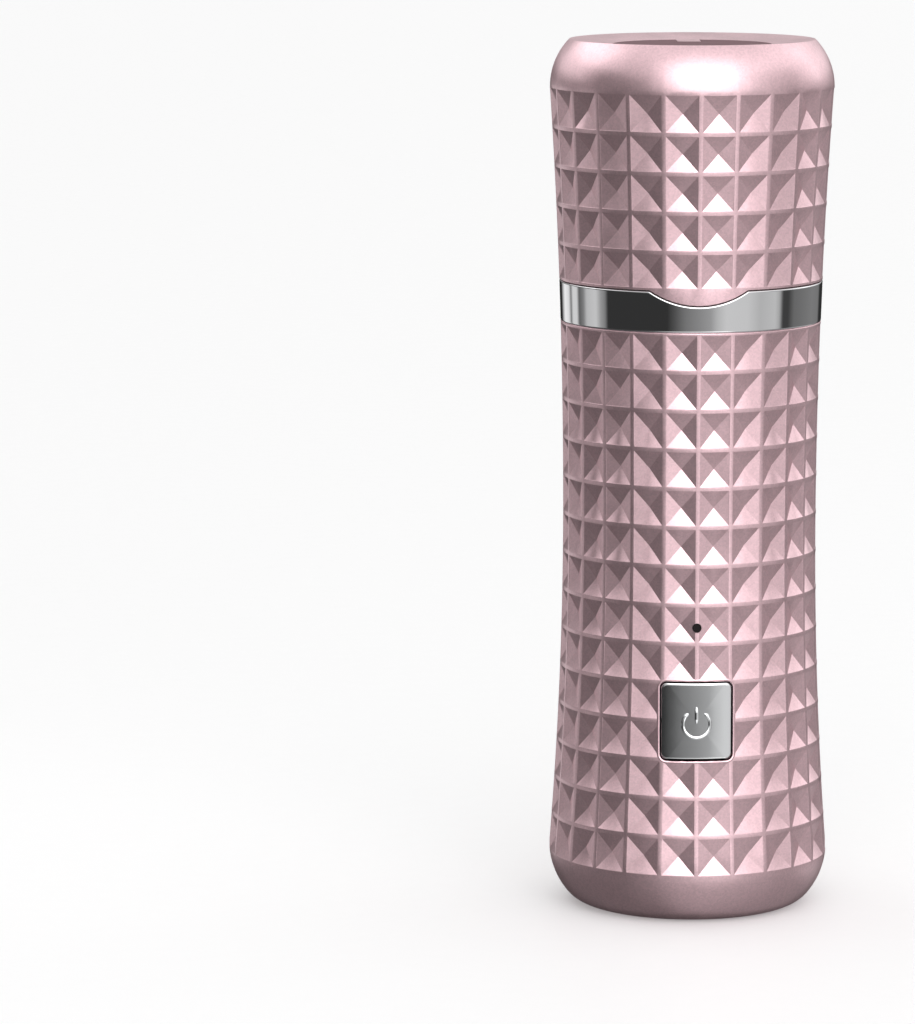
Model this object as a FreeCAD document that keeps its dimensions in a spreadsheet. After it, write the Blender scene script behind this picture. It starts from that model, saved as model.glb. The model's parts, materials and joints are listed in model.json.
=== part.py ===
"""Rotary hair remover: a waisted handle with a chromed pull-off head and a matching cap.

The handle stands on its foot.  Z is the long axis, the power button faces -Y and the origin
is the centre of the foot.  Sizes are in millimetres.
"""
import FreeCAD, Part

import math
import os
import re

import Sketcher

SIZES = (
    # outer form
    ("waist_radius", 17.5, "narrowest radius of the handle"),
    ("waist_height", 54.0, "height of the waist"),
    ("flare_radius", 891.0, "radius of the long curve above the waist"),
    ("foot_flare", 1.8, "widest radius near the foot, beyond the waist"),
    ("foot_height", 8.0, "height of the widest point near the foot"),
    ("foot_turn", 5.7, "how far the foot curves in to its flat"),
    ("foot_round", 4.4, "lower rounding of the foot"),
    ("housing_top", 81.4, "top of the handle housing"),
    ("ring_tall", 5.6, "height of the bezel ring"),
    ("crown_tall", 6.5, "height of the cap's rounded shoulder"),
    ("crown_round", 9.3, "rounding of the cap's shoulder"),
    ("dish_depth", 0.71, "fall of the dish from rim to disc"),
    ("dish_width", 5.99, "width of the sloping dish"),
    # housing
    ("housing_wall", 2.2, "wall at the waist"),
    ("floor_thick", 1.7, "thickness of the housing floor"),
    ("foot_land", 1.8, "width of the flat that the handle stands on"),
    ("cover_thick", 1.6, "base cover thickness"),
    ("cover_gap", 0.1, "gap around and above the base cover"),
    # base screw
    ("screw_offset", 6.0, "base screw behind the axis"),
    ("screw_head_radius", 2.0, "base screw head"),
    ("screw_head_tall", 0.8, "height of the base screw head"),
    ("screw_sink", 0.3, "depth of the screw head under the face"),
    ("screw_radius", 0.9, "base screw shank"),
    ("screw_reach", 6.0, "length of the base screw shank"),
    ("screw_play", 0.3, "clearance around the base screw"),
    ("recess_width", 0.5, "driver recess of the base screw"),
    # charging socket
    ("socket_width", 8.94, "socket shell width"),
    ("socket_depth", 3.26, "socket shell depth"),
    ("socket_corner", 1.2, "socket shell corner"),
    ("socket_tall", 7.35, "socket shell height"),
    ("socket_wall", 0.3, "socket shell wall"),
    ("socket_sink", 0.3, "socket mouth above the foot"),
    ("socket_gap", 0.15, "clearance around the socket"),
    ("tongue_width", 6.7, "socket tongue width"),
    ("tongue_thick", 0.7, "socket tongue thickness"),
    ("tongue_sink", 0.6, "tongue end inside the mouth"),
    # power button
    ("button_height", 28.4, "button centre above the foot"),
    ("button_width", 9.2, "button face width"),
    ("button_tall", 10.1, "button face height"),
    ("button_gap", 0.4, "gap around the button"),
    ("button_corner", 1.0, "corner of the button opening"),
    ("button_sink", 0.1, "button face under the housing surface"),
    ("button_travel", 0.5, "how far the button goes in"),
    ("seat_inset", 0.7, "flat seat behind the button, inside the bore"),
    ("flange_lap", 1.2, "button flange beyond the face"),
    ("flange_thick", 0.8, "button flange thickness"),
    ("gasket_thick", 0.4, "button gasket thickness"),
    ("gasket_edge", 0.4, "seat beyond the gasket"),
    ("stem_radius", 2.0, "stem behind the button"),
    ("stem_gap", 0.1, "gap between stem and plunger"),
    # switch and lamp
    ("switch_size", 6.0, "switch body side"),
    ("switch_tall", 3.5, "switch body height off the board"),
    ("plunger_radius", 1.7, "switch plunger"),
    ("plunger_reach", 1.0, "plunger above the switch body"),
    ("plunger_depth", 0.9, "plunger inside the switch body"),
    ("plunger_gap", 0.1, "clearance around the plunger"),
    ("lamp_height", 41.2, "lamp hole above the foot"),
    ("pipe_radius", 0.6, "light pipe"),
    ("pipe_flange", 1.2, "light pipe flange radius"),
    ("pipe_flange_thick", 0.5, "light pipe flange thickness"),
    ("pipe_gap", 0.05, "gap around the light pipe"),
    ("lamp_width", 2.0, "lamp width"),
    ("lamp_tall", 1.2, "lamp height"),
    ("lamp_thick", 0.9, "lamp thickness"),
    # circuit board
    ("board_front", 8.4, "board face in front of the axis"),
    ("board_thick", 1.0, "board thickness"),
    ("board_margin", 1.65, "board edge to the chassis radius"),
    ("board_play", 0.4, "board above the housing floor"),
    ("board_over", 1.1, "board above the upper battery tab"),
    ("board_screw_inset", 1.9, "board screws from the board's edge"),
    ("board_screw_radius", 0.6, "board screw shank"),
    ("board_screw_reach", 4.0, "board screw length"),
    ("board_screw_head", 0.7, "height of the board screw heads"),
    # battery
    ("battery_radius", 7.0, "battery cell"),
    ("battery_length", 48.0, "cell without its contact"),
    ("battery_edge", 0.4, "rounded edge of the cell"),
    ("cell_gap", 3.4, "cell to the back of the board"),
    ("cell_play", 0.35, "socket to lower battery tab"),
    ("contact_size", 2.8, "radius of the cell's contact"),
    ("contact_tall", 0.8, "height of the cell's contact"),
    ("tab_width", 4.0, "battery tab width"),
    ("tab_thick", 0.3, "battery tab thickness"),
    ("tab_reach", 5.0, "battery tab behind the axis"),
    # chassis
    ("chassis_gap", 0.2, "chassis to housing"),
    ("chassis_wall", 1.5, "chassis shell"),
    ("chassis_drop", 0.5, "chassis under the neck's spigot"),
    ("plate_thick", 2.4, "chassis plates"),
    ("plate_inset", 8.3, "upper cradle plate under the top of the cell"),
    ("plate_rise", 15.7, "lower cradle plate above the bottom of the cell"),
    ("cradle_half", 6.5, "half width of the opening in front of the cell"),
    ("cradle_reach", 2.0, "back of that opening, in front of the axis"),
    ("boss_radius", 2.6, "base screw boss"),
    # motor
    ("motor_radius", 10.05, "motor can, across the rounds"),
    ("motor_flat", 7.55, "motor can, axis to flat"),
    ("motor_length", 25.3, "motor can length"),
    ("can_wall", 0.6, "motor can wall"),
    ("can_top", 0.8, "motor can end"),
    ("end_cap_thick", 2.0, "motor end cap"),
    ("terminal_tall", 2.1, "motor terminal length"),
    ("terminal_width", 2.4, "motor terminal width"),
    ("terminal_offset", 6.0, "motor terminals from the axis"),
    ("strip_thick", 0.4, "terminal and brush thickness"),
    ("brush_width", 1.6, "brush width"),
    ("brush_gap", 0.1, "brush to commutator"),
    ("magnet_gap", 0.5, "armature to magnets"),
    ("magnet_angle", 70.0, "magnet arc in degrees"),
    ("magnet_rise", 2.0, "magnets above the end cap"),
    ("magnet_drop", 3.3, "magnets under the top of the can"),
    ("bush_radius", 3.0, "front motor bush"),
    ("bush_rise", 1.5, "front motor bush above the can"),
    ("rear_bush_radius", 2.0, "rear motor bush"),
    ("motor_screw_offset", 5.4, "motor screws from the axis"),
    ("motor_screw_radius", 0.85, "motor screw shank"),
    ("motor_screw_head", 1.6, "motor screw head radius"),
    ("motor_screw_tall", 0.9, "motor screw head height"),
    ("lead_radius", 0.5, "motor lead"),
    ("lead_bend", 1.2, "bend radius of the motor leads"),
    ("lead_drop", 4.5, "where the leads meet the board, under its top"),
    ("lead_front", 4.6, "where the leads run down, in front of the axis"),
    # rotor
    ("shaft_radius", 1.0, "motor shaft"),
    ("shaft_gap", 0.05, "running clearance of the shaft"),
    ("shaft_tail", 0.4, "shaft under the end cap"),
    ("shaft_sink", 1.8, "shaft end under the spring seat"),
    ("armature_radius", 5.8, "armature"),
    ("armature_rise", 5.0, "armature above the end cap"),
    ("armature_play", 3.0, "armature under the end of the can"),
    ("armature_slot", 1.6, "width of the winding slots"),
    ("commutator_radius", 2.4, "commutator"),
    ("commutator_rise", 1.0, "commutator above the end cap"),
    ("commutator_length", 3.2, "commutator length"),
    # neck
    ("neck_gap", 0.5, "neck to cap liner"),
    ("neck_wall", 2.2, "neck wall"),
    ("neck_tall", 17.9, "neck above the housing"),
    ("spigot_tall", 9.4, "neck's spigot in the housing"),
    ("spigot_gap", 0.1, "spigot to housing"),
    ("collar_thick", 1.0, "collar on the housing"),
    ("collar_gap", 0.1, "collar to bezel ring"),
    ("deck_rise", 5.9, "motor deck above the housing"),
    ("deck_thick", 3.0, "motor deck thickness"),
    ("rib_width", 1.0, "neck rib width"),
    ("rib_proud", 0.2, "neck rib height"),
    ("rib_root", 1.0, "neck rib inside the neck's wall"),
    ("rib_tall", 3.4, "neck ribs above the bezel ring"),
    ("rib_count", 4, "neck ribs"),
    ("seal_drop", 5.1, "neck seal under the top of the neck"),
    ("seal_gap", 0.15, "neck seal to cap liner"),
    ("seal_section", 0.75, "section radius of the neck seal"),
    ("shaft_seal_wide", 1.0, "shaft seal beyond the bush"),
    # bezel ring
    ("ring_inset", 0.5, "bore of the bezel ring inside the waist radius"),
    ("notch_radius", 12.2, "thumb notch in the ring"),
    ("notch_depth", 2.0, "depth of the thumb notch"),
    # drive
    ("spindle_play", 0.6, "spindle above the motor deck"),
    ("spindle_radius", 2.2, "drive spindle"),
    ("spindle_flange", 3.0, "lower flange of the spindle"),
    ("flange_tall", 1.0, "height of that flange"),
    ("seat_tall", 0.8, "height of the spring seat"),
    ("spring_radius", 2.9, "mean radius of the drive spring"),
    ("spring_wire", 0.25, "wire radius of the drive spring"),
    ("spring_pitch", 1.1, "pitch of the drive spring"),
    ("spring_length", 5.2, "length of the drive spring"),
    ("spring_lip", 0.7, "spring seat beyond the spring's mean radius"),
    ("square_side", 2.6, "square head of the spindle"),
    ("square_gap", 0.15, "clearance around the square head"),
    ("square_play", 0.2, "square head under the hub's web, with the foil pressed"),
    # head
    ("head_gap", 0.2, "head to neck"),
    ("head_wall", 1.05, "head cover wall"),
    ("head_tall", 13.9, "head cover above the neck"),
    ("head_corner", 1.6, "upper edge of the head cover"),
    ("head_shoulder", 3.45, "flat top of the head cover"),
    ("plug_tall", 7.5, "head's plug in the neck"),
    ("plug_gap", 0.15, "plug to neck bore"),
    ("plug_wall", 1.15, "plug wall"),
    ("insert_floor", 2.0, "floor of the head insert"),
    ("retainer_thick", 1.6, "cutter retainer thickness"),
    ("retainer_play", 1.1, "retainer under the cutter, with the foil pressed"),
    ("retainer_gap", 0.4, "retainer to cutter hub"),
    ("retainer_rim", 1.6, "width of the retainer's inner ring"),
    ("retainer_arm", 2.4, "width of the retainer's arms"),
    ("retainer_arms", 3, "arms of the retainer"),
    # foil
    ("foil_gap", 0.2, "foil to head cover"),
    ("foil_rise", 2.8, "foil above the head cover"),
    ("foil_wall", 0.35, "foil thickness"),
    ("foil_round", 0.5, "upper edge of the foil"),
    ("foil_brim", 0.85, "foil flange beyond the foil"),
    ("foil_lap", 0.8, "foil flange thickness"),
    ("foil_play", 0.1, "flange to head cover"),
    ("foil_travel", 0.8, "float of the foil"),
    ("track_wide", 4.75, "slotted track of the foil"),
    ("track_step", 0.8, "step down inside the track"),
    ("slot_reach", 3.95, "foil slots, inwards from the foil's wall"),
    ("slot_width", 0.42, "foil slot"),
    ("slot_count", 48, "foil slots"),
    ("carrier_inset", 0.65, "bore of the foil carrier inside the foil"),
    ("carrier_brim", 0.2, "foil carrier beyond the foil flange"),
    ("carrier_tall", 1.7, "foil carrier height"),
    # cutter
    ("cutter_gap", 0.9, "cutter to the foil's wall"),
    ("cutter_drop", 6.3, "underside of the cutter disc under the foil's top"),
    ("cutter_thick", 0.6, "cutter disc thickness"),
    ("blade_top_gap", 0.25, "blades under the foil"),
    ("blade_reach", 2.7, "blades, inwards from the disc's edge"),
    ("blade_edge", 0.2, "disc beyond the blades"),
    ("blade_thick", 0.5, "blade thickness"),
    ("blade_count", 8, "blades"),
    ("hub_radius", 4.2, "cutter hub"),
    ("hub_tall", 5.7, "cutter hub height"),
    ("hub_web", 1.2, "closed end of the hub's socket"),
    # cap
    ("mouth_gap", 0.15, "cap to bezel ring"),
    ("cap_play", 0.59, "cap liner above the foil"),
    ("liner_play", 0.25, "cap liner to bezel ring"),
    ("liner_wall", 0.45, "cap liner wall"),
    ("liner_gap", 0.05, "liner to shell"),
    ("liner_lift", 0.8, "cap liner above the neck's collar"),
    ("liner_roof", 0.6, "liner roof thickness"),
    ("roof_gap", 0.1, "liner roof to shell"),
    ("cap_web", 1.1, "cap top under the disc"),
    ("disc_thick", 0.9, "disc thickness"),
    ("disc_gap", 0.05, "gap around the disc"),
    ("key_width", 3.3, "key notch of the disc"),
    ("key_reach", 5.0, "depth of the key notch"),
)

# Sizes that follow from the driving ones.
RULES = {
    # radii, from the waist inwards and outwards
    "foot_radius": "waist_radius + foot_flare",
    "contact_radius": "foot_radius - foot_turn",
    "cover_radius": "contact_radius - foot_land",
    "lower_radius": "((waist_height - foot_height)^2 + foot_flare^2) / (2 * foot_flare)",
    "bore_radius": "waist_radius - housing_wall",
    "chassis_radius": "bore_radius - chassis_gap",
    "seat_depth": "bore_radius - seat_inset",
    "ring_bore": "waist_radius - ring_inset",
    "liner_outer": "ring_bore - liner_play",
    "liner_inner": "liner_outer - liner_wall",
    "cap_bore": "liner_outer + liner_gap",
    "seal_radius": "liner_inner - seal_gap",
    "neck_radius": "liner_inner - neck_gap",
    "neck_bore": "neck_radius - neck_wall",
    "plug_radius": "neck_bore - plug_gap",
    "head_inner": "neck_radius - head_wall",
    "head_hole": "neck_radius - head_shoulder",
    "foil_radius": "head_hole - foil_gap",
    "foil_flange": "foil_radius + foil_brim",
    "carrier_radius": "foil_flange + carrier_brim",
    "carrier_inner": "foil_radius - carrier_inset",
    "track_inner": "foil_radius - track_wide",
    "slot_inner": "foil_radius - slot_reach",
    "cutter_radius": "foil_radius - foil_wall - cutter_gap",
    "blade_inner": "cutter_radius - blade_reach",
    "retainer_bore": "hub_radius + retainer_gap",
    "shaft_seal_radius": "bush_radius + shaft_seal_wide",
    "spring_seat_radius": "spring_radius + spring_lip",
    "magnet_inner": "armature_radius + magnet_gap",
    "shoulder_radius": "waist_radius + flare_radius - sqrt(flare_radius^2 - (crown_height - waist_height)^2)",
    "rim_radius": "shoulder_radius - crown_round + sqrt(crown_round^2 - crown_tall^2)",
    "disc_radius": "rim_radius - dish_width",
    # heights, up from the foot
    "floor_bottom": "cover_thick + cover_gap",
    "floor_top": "floor_bottom + floor_thick",
    "battery_bottom": "socket_sink + socket_tall + cell_play + tab_thick",
    "battery_top": "battery_bottom + battery_length",
    "board_bottom": "floor_top + board_play",
    "board_top": "battery_top + contact_tall + tab_thick + board_over",
    "floor_plate": "battery_bottom - tab_thick - plate_thick",
    "lower_plate": "battery_bottom + plate_rise",
    "upper_plate": "battery_top - plate_inset",
    "spigot_bottom": "housing_top - spigot_tall",
    "chassis_top": "spigot_bottom - chassis_drop",
    "collar_top": "housing_top + collar_thick",
    "deck_bottom": "housing_top + deck_rise",
    "deck_top": "deck_bottom + deck_thick",
    "motor_bottom": "deck_bottom - motor_length",
    "end_cap_bottom": "motor_bottom - end_cap_thick",
    "armature_bottom": "motor_bottom + armature_rise",
    "armature_length": "motor_length - can_top - armature_rise - armature_play",
    "commutator_bottom": "motor_bottom + commutator_rise",
    "shaft_bottom": "end_cap_bottom - shaft_tail",
    "ring_top": "housing_top + ring_tall",
    "rib_top": "ring_top + rib_tall",
    "neck_top": "housing_top + neck_tall",
    "seal_height": "neck_top - seal_drop",
    "head_bottom": "neck_top + head_gap",
    "head_top": "neck_top + head_tall",
    "plug_bottom": "head_bottom - plug_tall",
    "foil_top": "head_top + foil_rise",
    "flange_top": "head_top - head_wall - foil_play",
    "flange_low": "flange_top - foil_lap",
    "cutter_bottom": "foil_top - cutter_drop",
    "disc_top": "cutter_bottom + cutter_thick",
    "hub_bottom": "cutter_bottom - hub_tall",
    "spring_seat": "hub_bottom - spring_length",
    "shaft_top": "spring_seat - shaft_sink",
    "spindle_bottom": "deck_top + spindle_play",
    "spindle_top": "cutter_bottom - hub_web - foil_travel - square_play",
    "retainer_bottom": "cutter_bottom - foil_travel - retainer_play - retainer_thick",
    "liner_bottom": "collar_top + liner_lift",
    "liner_top": "foil_top + cap_play + liner_roof",
    "cap_ceiling": "liner_top + roof_gap",
    "pocket_floor": "cap_ceiling + cap_web",
    "dish_floor": "pocket_floor + disc_thick",
    "total_height": "dish_floor + dish_depth",
    "crown_height": "total_height - crown_tall",
    "mouth": "ring_top + mouth_gap",
    "notch_centre": "ring_top - notch_depth + notch_radius",
    # depths in front of the axis
    "board_back": "board_front - board_thick",
    "board_half_width": "sqrt((chassis_radius - board_margin)^2 - board_front^2)",
    "board_screw_side": "board_half_width - board_screw_inset",
    "battery_offset": "battery_radius + cell_gap - board_back",
    "socket_offset": "board_back - socket_depth / 2",
    "switch_front": "board_front + switch_tall",
    "plunger_front": "switch_front + plunger_reach",
    "gasket_back": "seat_depth - gasket_thick",
    "flange_front": "gasket_back - stem_gap",
    "flange_back": "flange_front - flange_thick",
    "flange_wide": "button_width + 2 * flange_lap",
    "flange_high": "button_tall + 2 * flange_lap",
    "opening_width": "button_width + 2 * button_gap",
    "opening_tall": "button_tall + 2 * button_gap",
}

NAMES = {name for name, _, _ in SIZES}
BOARD_PLATES = ("lower_plate", "upper_plate")
ZERO = "0"

doc = FreeCAD.newDocument("rotary_hair_remover")
parts = []


def make_sheet():
    """The driving dimensions, one row each."""
    sheet = doc.addObject("Spreadsheet::Sheet", "sizes")
    for row, (name, value, meaning) in enumerate(SIZES, start=1):
        sheet.set(f"A{row}", name)
        sheet.set(f"B{row}", str(value))
        sheet.set(f"C{row}", meaning)
        sheet.setAlias(f"B{row}", name)
    doc.recompute()
    return sheet


def full(text):
    """An expression in driving dimensions only, each one pointing to the sheet."""
    def spell(word):
        if word[0] in RULES:
            return f"({full(RULES[word[0]])})"
        return f"sizes.{word[0]}" if word[0] in NAMES else word[0]

    return re.sub(r"[a-z_]+", spell, text)


def amount(text):
    """The present value of an expression."""
    return float(sheet.evalExpression(full(text)))


def bind(thing, prop, text):
    """Tie a property to the sheet."""
    thing.setExpression(prop, full(text))


def keep(thing, label):
    """List an object as a sub-part under its own label."""
    thing.Label = label
    parts.append(thing)
    return thing


def flare_at(height):
    """Outer radius of the long curve above the waist, at a height."""
    return f"(waist_radius + flare_radius - sqrt(flare_radius^2 - ({height} - waist_height)^2))"


def chord(radius, offset):
    """Half the chord of a circle at a distance from its centre."""
    return f"sqrt(({radius})^2 - ({offset})^2)"


# ---------------------------------------------------------------- sketches

def make_body(label):
    """A sub-part that is built from sketched features."""
    return keep(doc.addObject("PartDesign::Body", label), label)


def sketch_on(body, plane="XY_Plane", offset=ZERO):
    """An empty sketch on one of the body's own planes, moved along the plane's normal."""
    sketch = body.newObject("Sketcher::SketchObject", "sketch")
    support = [feature for feature in body.Origin.OriginFeatures if feature.Role == plane][0]
    sketch.AttachmentSupport = [(support, "")]
    sketch.MapMode = "FlatFace"
    bind(sketch, "AttachmentOffset.Base.z", offset)
    return sketch


def limit(sketch, kind, places, text):
    """Add a constraint that is bound to an expression."""
    index = sketch.addConstraint(Sketcher.Constraint(kind, *places, amount(text)))
    sketch.setExpression(f"Constraints[{index}]", full(text))


def place_point(sketch, edge, end, x, y):
    """Fix one point of the sketch by its two coordinates."""
    for text, kind, axis in ((x, "DistanceX", -2), (y, "DistanceY", -1)):
        if text == ZERO:
            sketch.addConstraint(Sketcher.Constraint("PointOnObject", edge, end, axis))
        else:
            limit(sketch, kind, (edge, end), text)


def to(x, y, radius=None, left=False, smooth=False, free=False, guess=None):
    """A step of an outline: a line to a corner, or an arc that turns left or right."""
    return {"x": x, "y": y, "radius": radius, "left": left, "smooth": smooth, "free": free, "guess": guess}


def arc_edge(start, end, radius, left):
    """The arc from start to end that turns left or right, drawn counter-clockwise."""
    run = end - start
    reach = math.sqrt(max(radius ** 2 - (run.Length / 2) ** 2, 0.0))
    normal = FreeCAD.Vector(-run.y, run.x, 0).normalize() * reach
    centre = (start + end) / 2 + (normal if left else -normal)
    first, last = (start, end) if left else (end, start)
    angles = [math.atan2(point.y - centre.y, point.x - centre.x) for point in (first, last)]
    if angles[1] < angles[0]:
        angles[1] += 2 * math.pi
    circle = Part.Circle(centre, FreeCAD.Vector(0, 0, 1), (first - centre).Length)
    return Part.ArcOfCircle(circle, angles[0], angles[1])


def outline(sketch, steps):
    """Draw a closed outline through its steps and fix every corner that isn't free."""
    points = [FreeCAD.Vector(amount(step["x"]), amount(step["y"]), 0) for step in steps]
    ends = []
    for index, step in enumerate(steps):
        start, end = points[index - 1], points[index]
        size = step["radius"] or step["guess"]
        if size:
            edge = sketch.addGeometry(arc_edge(start, end, amount(size), step["left"]))
            ends.append((edge, 1, 2) if step["left"] else (edge, 2, 1))
        else:
            edge = sketch.addGeometry(Part.LineSegment(start, end))
            ends.append((edge, 1, 2))
    for index, step in enumerate(steps):
        before, here = ends[index - 1], ends[index]
        kind = "Tangent" if step["smooth"] else "Coincident"
        sketch.addConstraint(Sketcher.Constraint(kind, before[0], before[2], here[0], here[1]))
    for step, (edge, _, last) in zip(steps, ends):
        if not step["free"]:
            place_point(sketch, edge, last, step["x"], step["y"])
        if step["radius"]:
            limit(sketch, "Radius", (edge,), step["radius"])
    return sketch


def circle(sketch, radius, x=ZERO, y=ZERO):
    """A full circle."""
    centre = FreeCAD.Vector(amount(x), amount(y), 0)
    edge = sketch.addGeometry(Part.Circle(centre, FreeCAD.Vector(0, 0, 1), amount(radius)))
    limit(sketch, "Radius", (edge,), radius)
    place_point(sketch, edge, 3, x, y)
    return sketch


def rectangle(sketch, width, height, x=ZERO, y=ZERO, corner=None):
    """A rectangle about a centre, with rounded corners if a corner radius is given."""
    left, right = f"({x}) - ({width}) / 2", f"({x}) + ({width}) / 2"
    low, high = f"({y}) - ({height}) / 2", f"({y}) + ({height}) / 2"
    if corner is None:
        return outline(sketch, [to(left, low), to(right, low), to(right, high), to(left, high)])
    inner = f"({corner})"
    return outline(sketch, [
        to(f"{left} + {inner}", low, corner, left=True),
        to(f"{right} - {inner}", low),
        to(right, f"{low} + {inner}", corner, left=True),
        to(right, f"{high} - {inner}"),
        to(f"{right} - {inner}", high, corner, left=True),
        to(f"{left} + {inner}", high),
        to(left, f"{high} - {inner}", corner, left=True),
        to(left, f"{low} + {inner}"),
    ])


# ---------------------------------------------------------------- features

def changed(body, feature, grows):
    """Recompute, and stop if the feature did not add or remove material as it should."""
    before = body.Tip.BaseFeature.Shape.Volume if feature.BaseFeature else 0.0
    doc.recompute()
    after = feature.Shape.Volume
    if grows != (after > before + 1e-6) or abs(after - before) < 1e-6:
        raise RuntimeError(f"{feature.Name} of {body.Label} did not change the solid as meant")
    return feature


def spin(body, steps, plane="XZ_Plane", cut=False):
    """Turn an outline of (radius, height) steps once around Z."""
    sketch = outline(sketch_on(body, plane), steps)
    feature = body.newObject("PartDesign::Groove" if cut else "PartDesign::Revolution", "turned")
    feature.Profile = sketch
    feature.ReferenceAxis = (sketch, ["V_Axis"])
    feature.Angle = 360
    sketch.Visibility = False
    return changed(body, feature, not cut)


def pad(body, sketch, length, reverse=False):
    """Add material on one side of a sketch."""
    feature = body.newObject("PartDesign::Pad", "pad")
    feature.Profile = sketch
    feature.Reversed = reverse
    bind(feature, "Length", length)
    return changed(body, feature, True)


def pocket(body, sketch, length, forward=True):
    """Remove material, forward along the sketch's normal unless told otherwise."""
    feature = body.newObject("PartDesign::Pocket", "pocket")
    feature.Profile = sketch
    feature.Reversed = forward
    bind(feature, "Length", length)
    return changed(body, feature, False)


def around(body, feature, count, grows):
    """Repeat a feature evenly around Z."""
    axis = [item for item in body.Origin.OriginFeatures if item.Role == "Z_Axis"][0]
    pattern = body.newObject("PartDesign::PolarPattern", "pattern")
    pattern.Originals = [feature]
    pattern.Axis = (axis, [""])
    pattern.Angle = 360
    bind(pattern, "Occurrences", count)
    body.Tip = pattern
    before = feature.Shape.Volume
    doc.recompute()
    if grows != (pattern.Shape.Volume > before):
        raise RuntimeError(f"the pattern of {body.Label} did not change the solid as meant")
    return pattern


# ---------------------------------------------------------------- primitives

def cylinder(radius, length, x=ZERO, y=ZERO, z=ZERO, to_front=False):
    """A cylinder that rises from its centre point, or runs towards the front."""
    item = doc.addObject("Part::Cylinder", "round")
    bind(item, "Radius", radius)
    bind(item, "Height", length)
    if to_front:
        item.Placement = FreeCAD.Placement(FreeCAD.Vector(), FreeCAD.Rotation(FreeCAD.Vector(1, 0, 0), 90))
    set_base(item, x, y, z)
    return item


def block(width, depth, height, x=ZERO, y=ZERO, z=ZERO):
    """A block centred on x, that goes back from y and up from z."""
    item = doc.addObject("Part::Box", "block")
    bind(item, "Length", width)
    bind(item, "Width", depth)
    bind(item, "Height", height)
    set_base(item, f"({x}) - ({width}) / 2", y, z)
    return item


def set_base(item, x, y, z):
    """Tie the place of a primitive to the sheet."""
    bind(item, "Placement.Base.x", x)
    bind(item, "Placement.Base.y", y)
    bind(item, "Placement.Base.z", z)


def cut(base, *tools):
    """A solid with others taken away."""
    item = doc.addObject("Part::Cut", "cut")
    item.Base = base
    item.Tool = tools[0] if len(tools) == 1 else fuse(*tools)
    return item


def common(first, second):
    """What two solids share."""
    item = doc.addObject("Part::Common", "common")
    item.Base = first
    item.Tool = second
    return item


def fuse(*items):
    """Several solids made one."""
    item = doc.addObject("Part::MultiFuse", "fuse")
    item.Shapes = list(items)
    return item


def group(*items):
    """Separate solids that share one sub-part."""
    item = doc.addObject("Part::Compound", "group")
    item.Links = list(items)
    return item


def tube(outer, inner, length, z):
    """A straight tube about Z."""
    return cut(cylinder(outer, length, z=z), cylinder(inner, length, z=z))


# ---------------------------------------------------------------- handle: shell and base

def handle_housing():
    """The handle's outer shell, with its floor, button opening and lamp hole."""
    body = make_body("handle_housing")
    spin(body, [
        to("cover_radius + cover_gap", ZERO),
        to("contact_radius", ZERO),
        to("contact_radius + 0.77 * foot_round", "0.36 * foot_round", "foot_round", left=True,
           smooth=True, free=True),
        to("foot_radius", "foot_height", guess="2.3 * foot_round", left=True, smooth=True),
        to("waist_radius", "waist_height", "lower_radius"),
        to(flare_at("housing_top"), "housing_top", "flare_radius"),
        to("bore_radius", "housing_top"),
        to("bore_radius", "floor_top"),
        to(ZERO, "floor_top"),
        to(ZERO, "floor_bottom"),
        to("cover_radius + cover_gap", "floor_bottom"),
    ])
    socket_opening(body, "floor_top")
    screw = circle(sketch_on(body), "screw_radius + screw_play", y="screw_offset")
    pocket(body, screw, "floor_top")
    opening = rectangle(sketch_on(body, "XZ_Plane"), "opening_width", "opening_tall", y="button_height",
                        corner="button_corner")
    pocket(body, opening, "foot_radius + 1")
    seat = rectangle(sketch_on(body, "XZ_Plane"), "flange_wide + 2 * gasket_edge",
                     "flange_high + 2 * gasket_edge", y="button_height")
    pocket(body, seat, "seat_depth")
    lamp_hole = circle(sketch_on(body, "XZ_Plane"), "pipe_radius + pipe_gap", y="lamp_height")
    pocket(body, lamp_hole, "foot_radius + 1")


def socket_opening(body, depth):
    """The opening for the charging socket, up from the foot."""
    slot = rectangle(sketch_on(body), "socket_width + 2 * socket_gap", "socket_depth + 2 * socket_gap",
                     y="-socket_offset", corner="socket_corner + socket_gap")
    pocket(body, slot, depth)


def base_cover():
    """The round cover under the foot."""
    body = make_body("base_cover")
    pad(body, circle(sketch_on(body), "cover_radius"), "cover_thick")
    socket_opening(body, "cover_thick")
    pocket(body, circle(sketch_on(body), "screw_radius + screw_play", y="screw_offset"), "cover_thick")
    recess = circle(sketch_on(body), "screw_head_radius + screw_play", y="screw_offset")
    pocket(body, recess, "screw_sink + screw_head_tall")


def base_screw():
    """The cross-head screw that holds the base cover to the chassis."""
    head = cylinder("screw_head_radius", "screw_head_tall", y="screw_offset", z="screw_sink")
    shank = cylinder("screw_radius", "screw_reach", y="screw_offset", z="screw_sink + screw_head_tall")
    length = "1.2 * screw_head_radius"
    slots = [
        block(length, "recess_width", "recess_width", y="screw_offset - recess_width / 2", z="screw_sink"),
        block("recess_width", length, "recess_width", y=f"screw_offset - {length} / 2", z="screw_sink"),
    ]
    keep(cut(fuse(head, shank), *slots), "base_screw")


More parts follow.
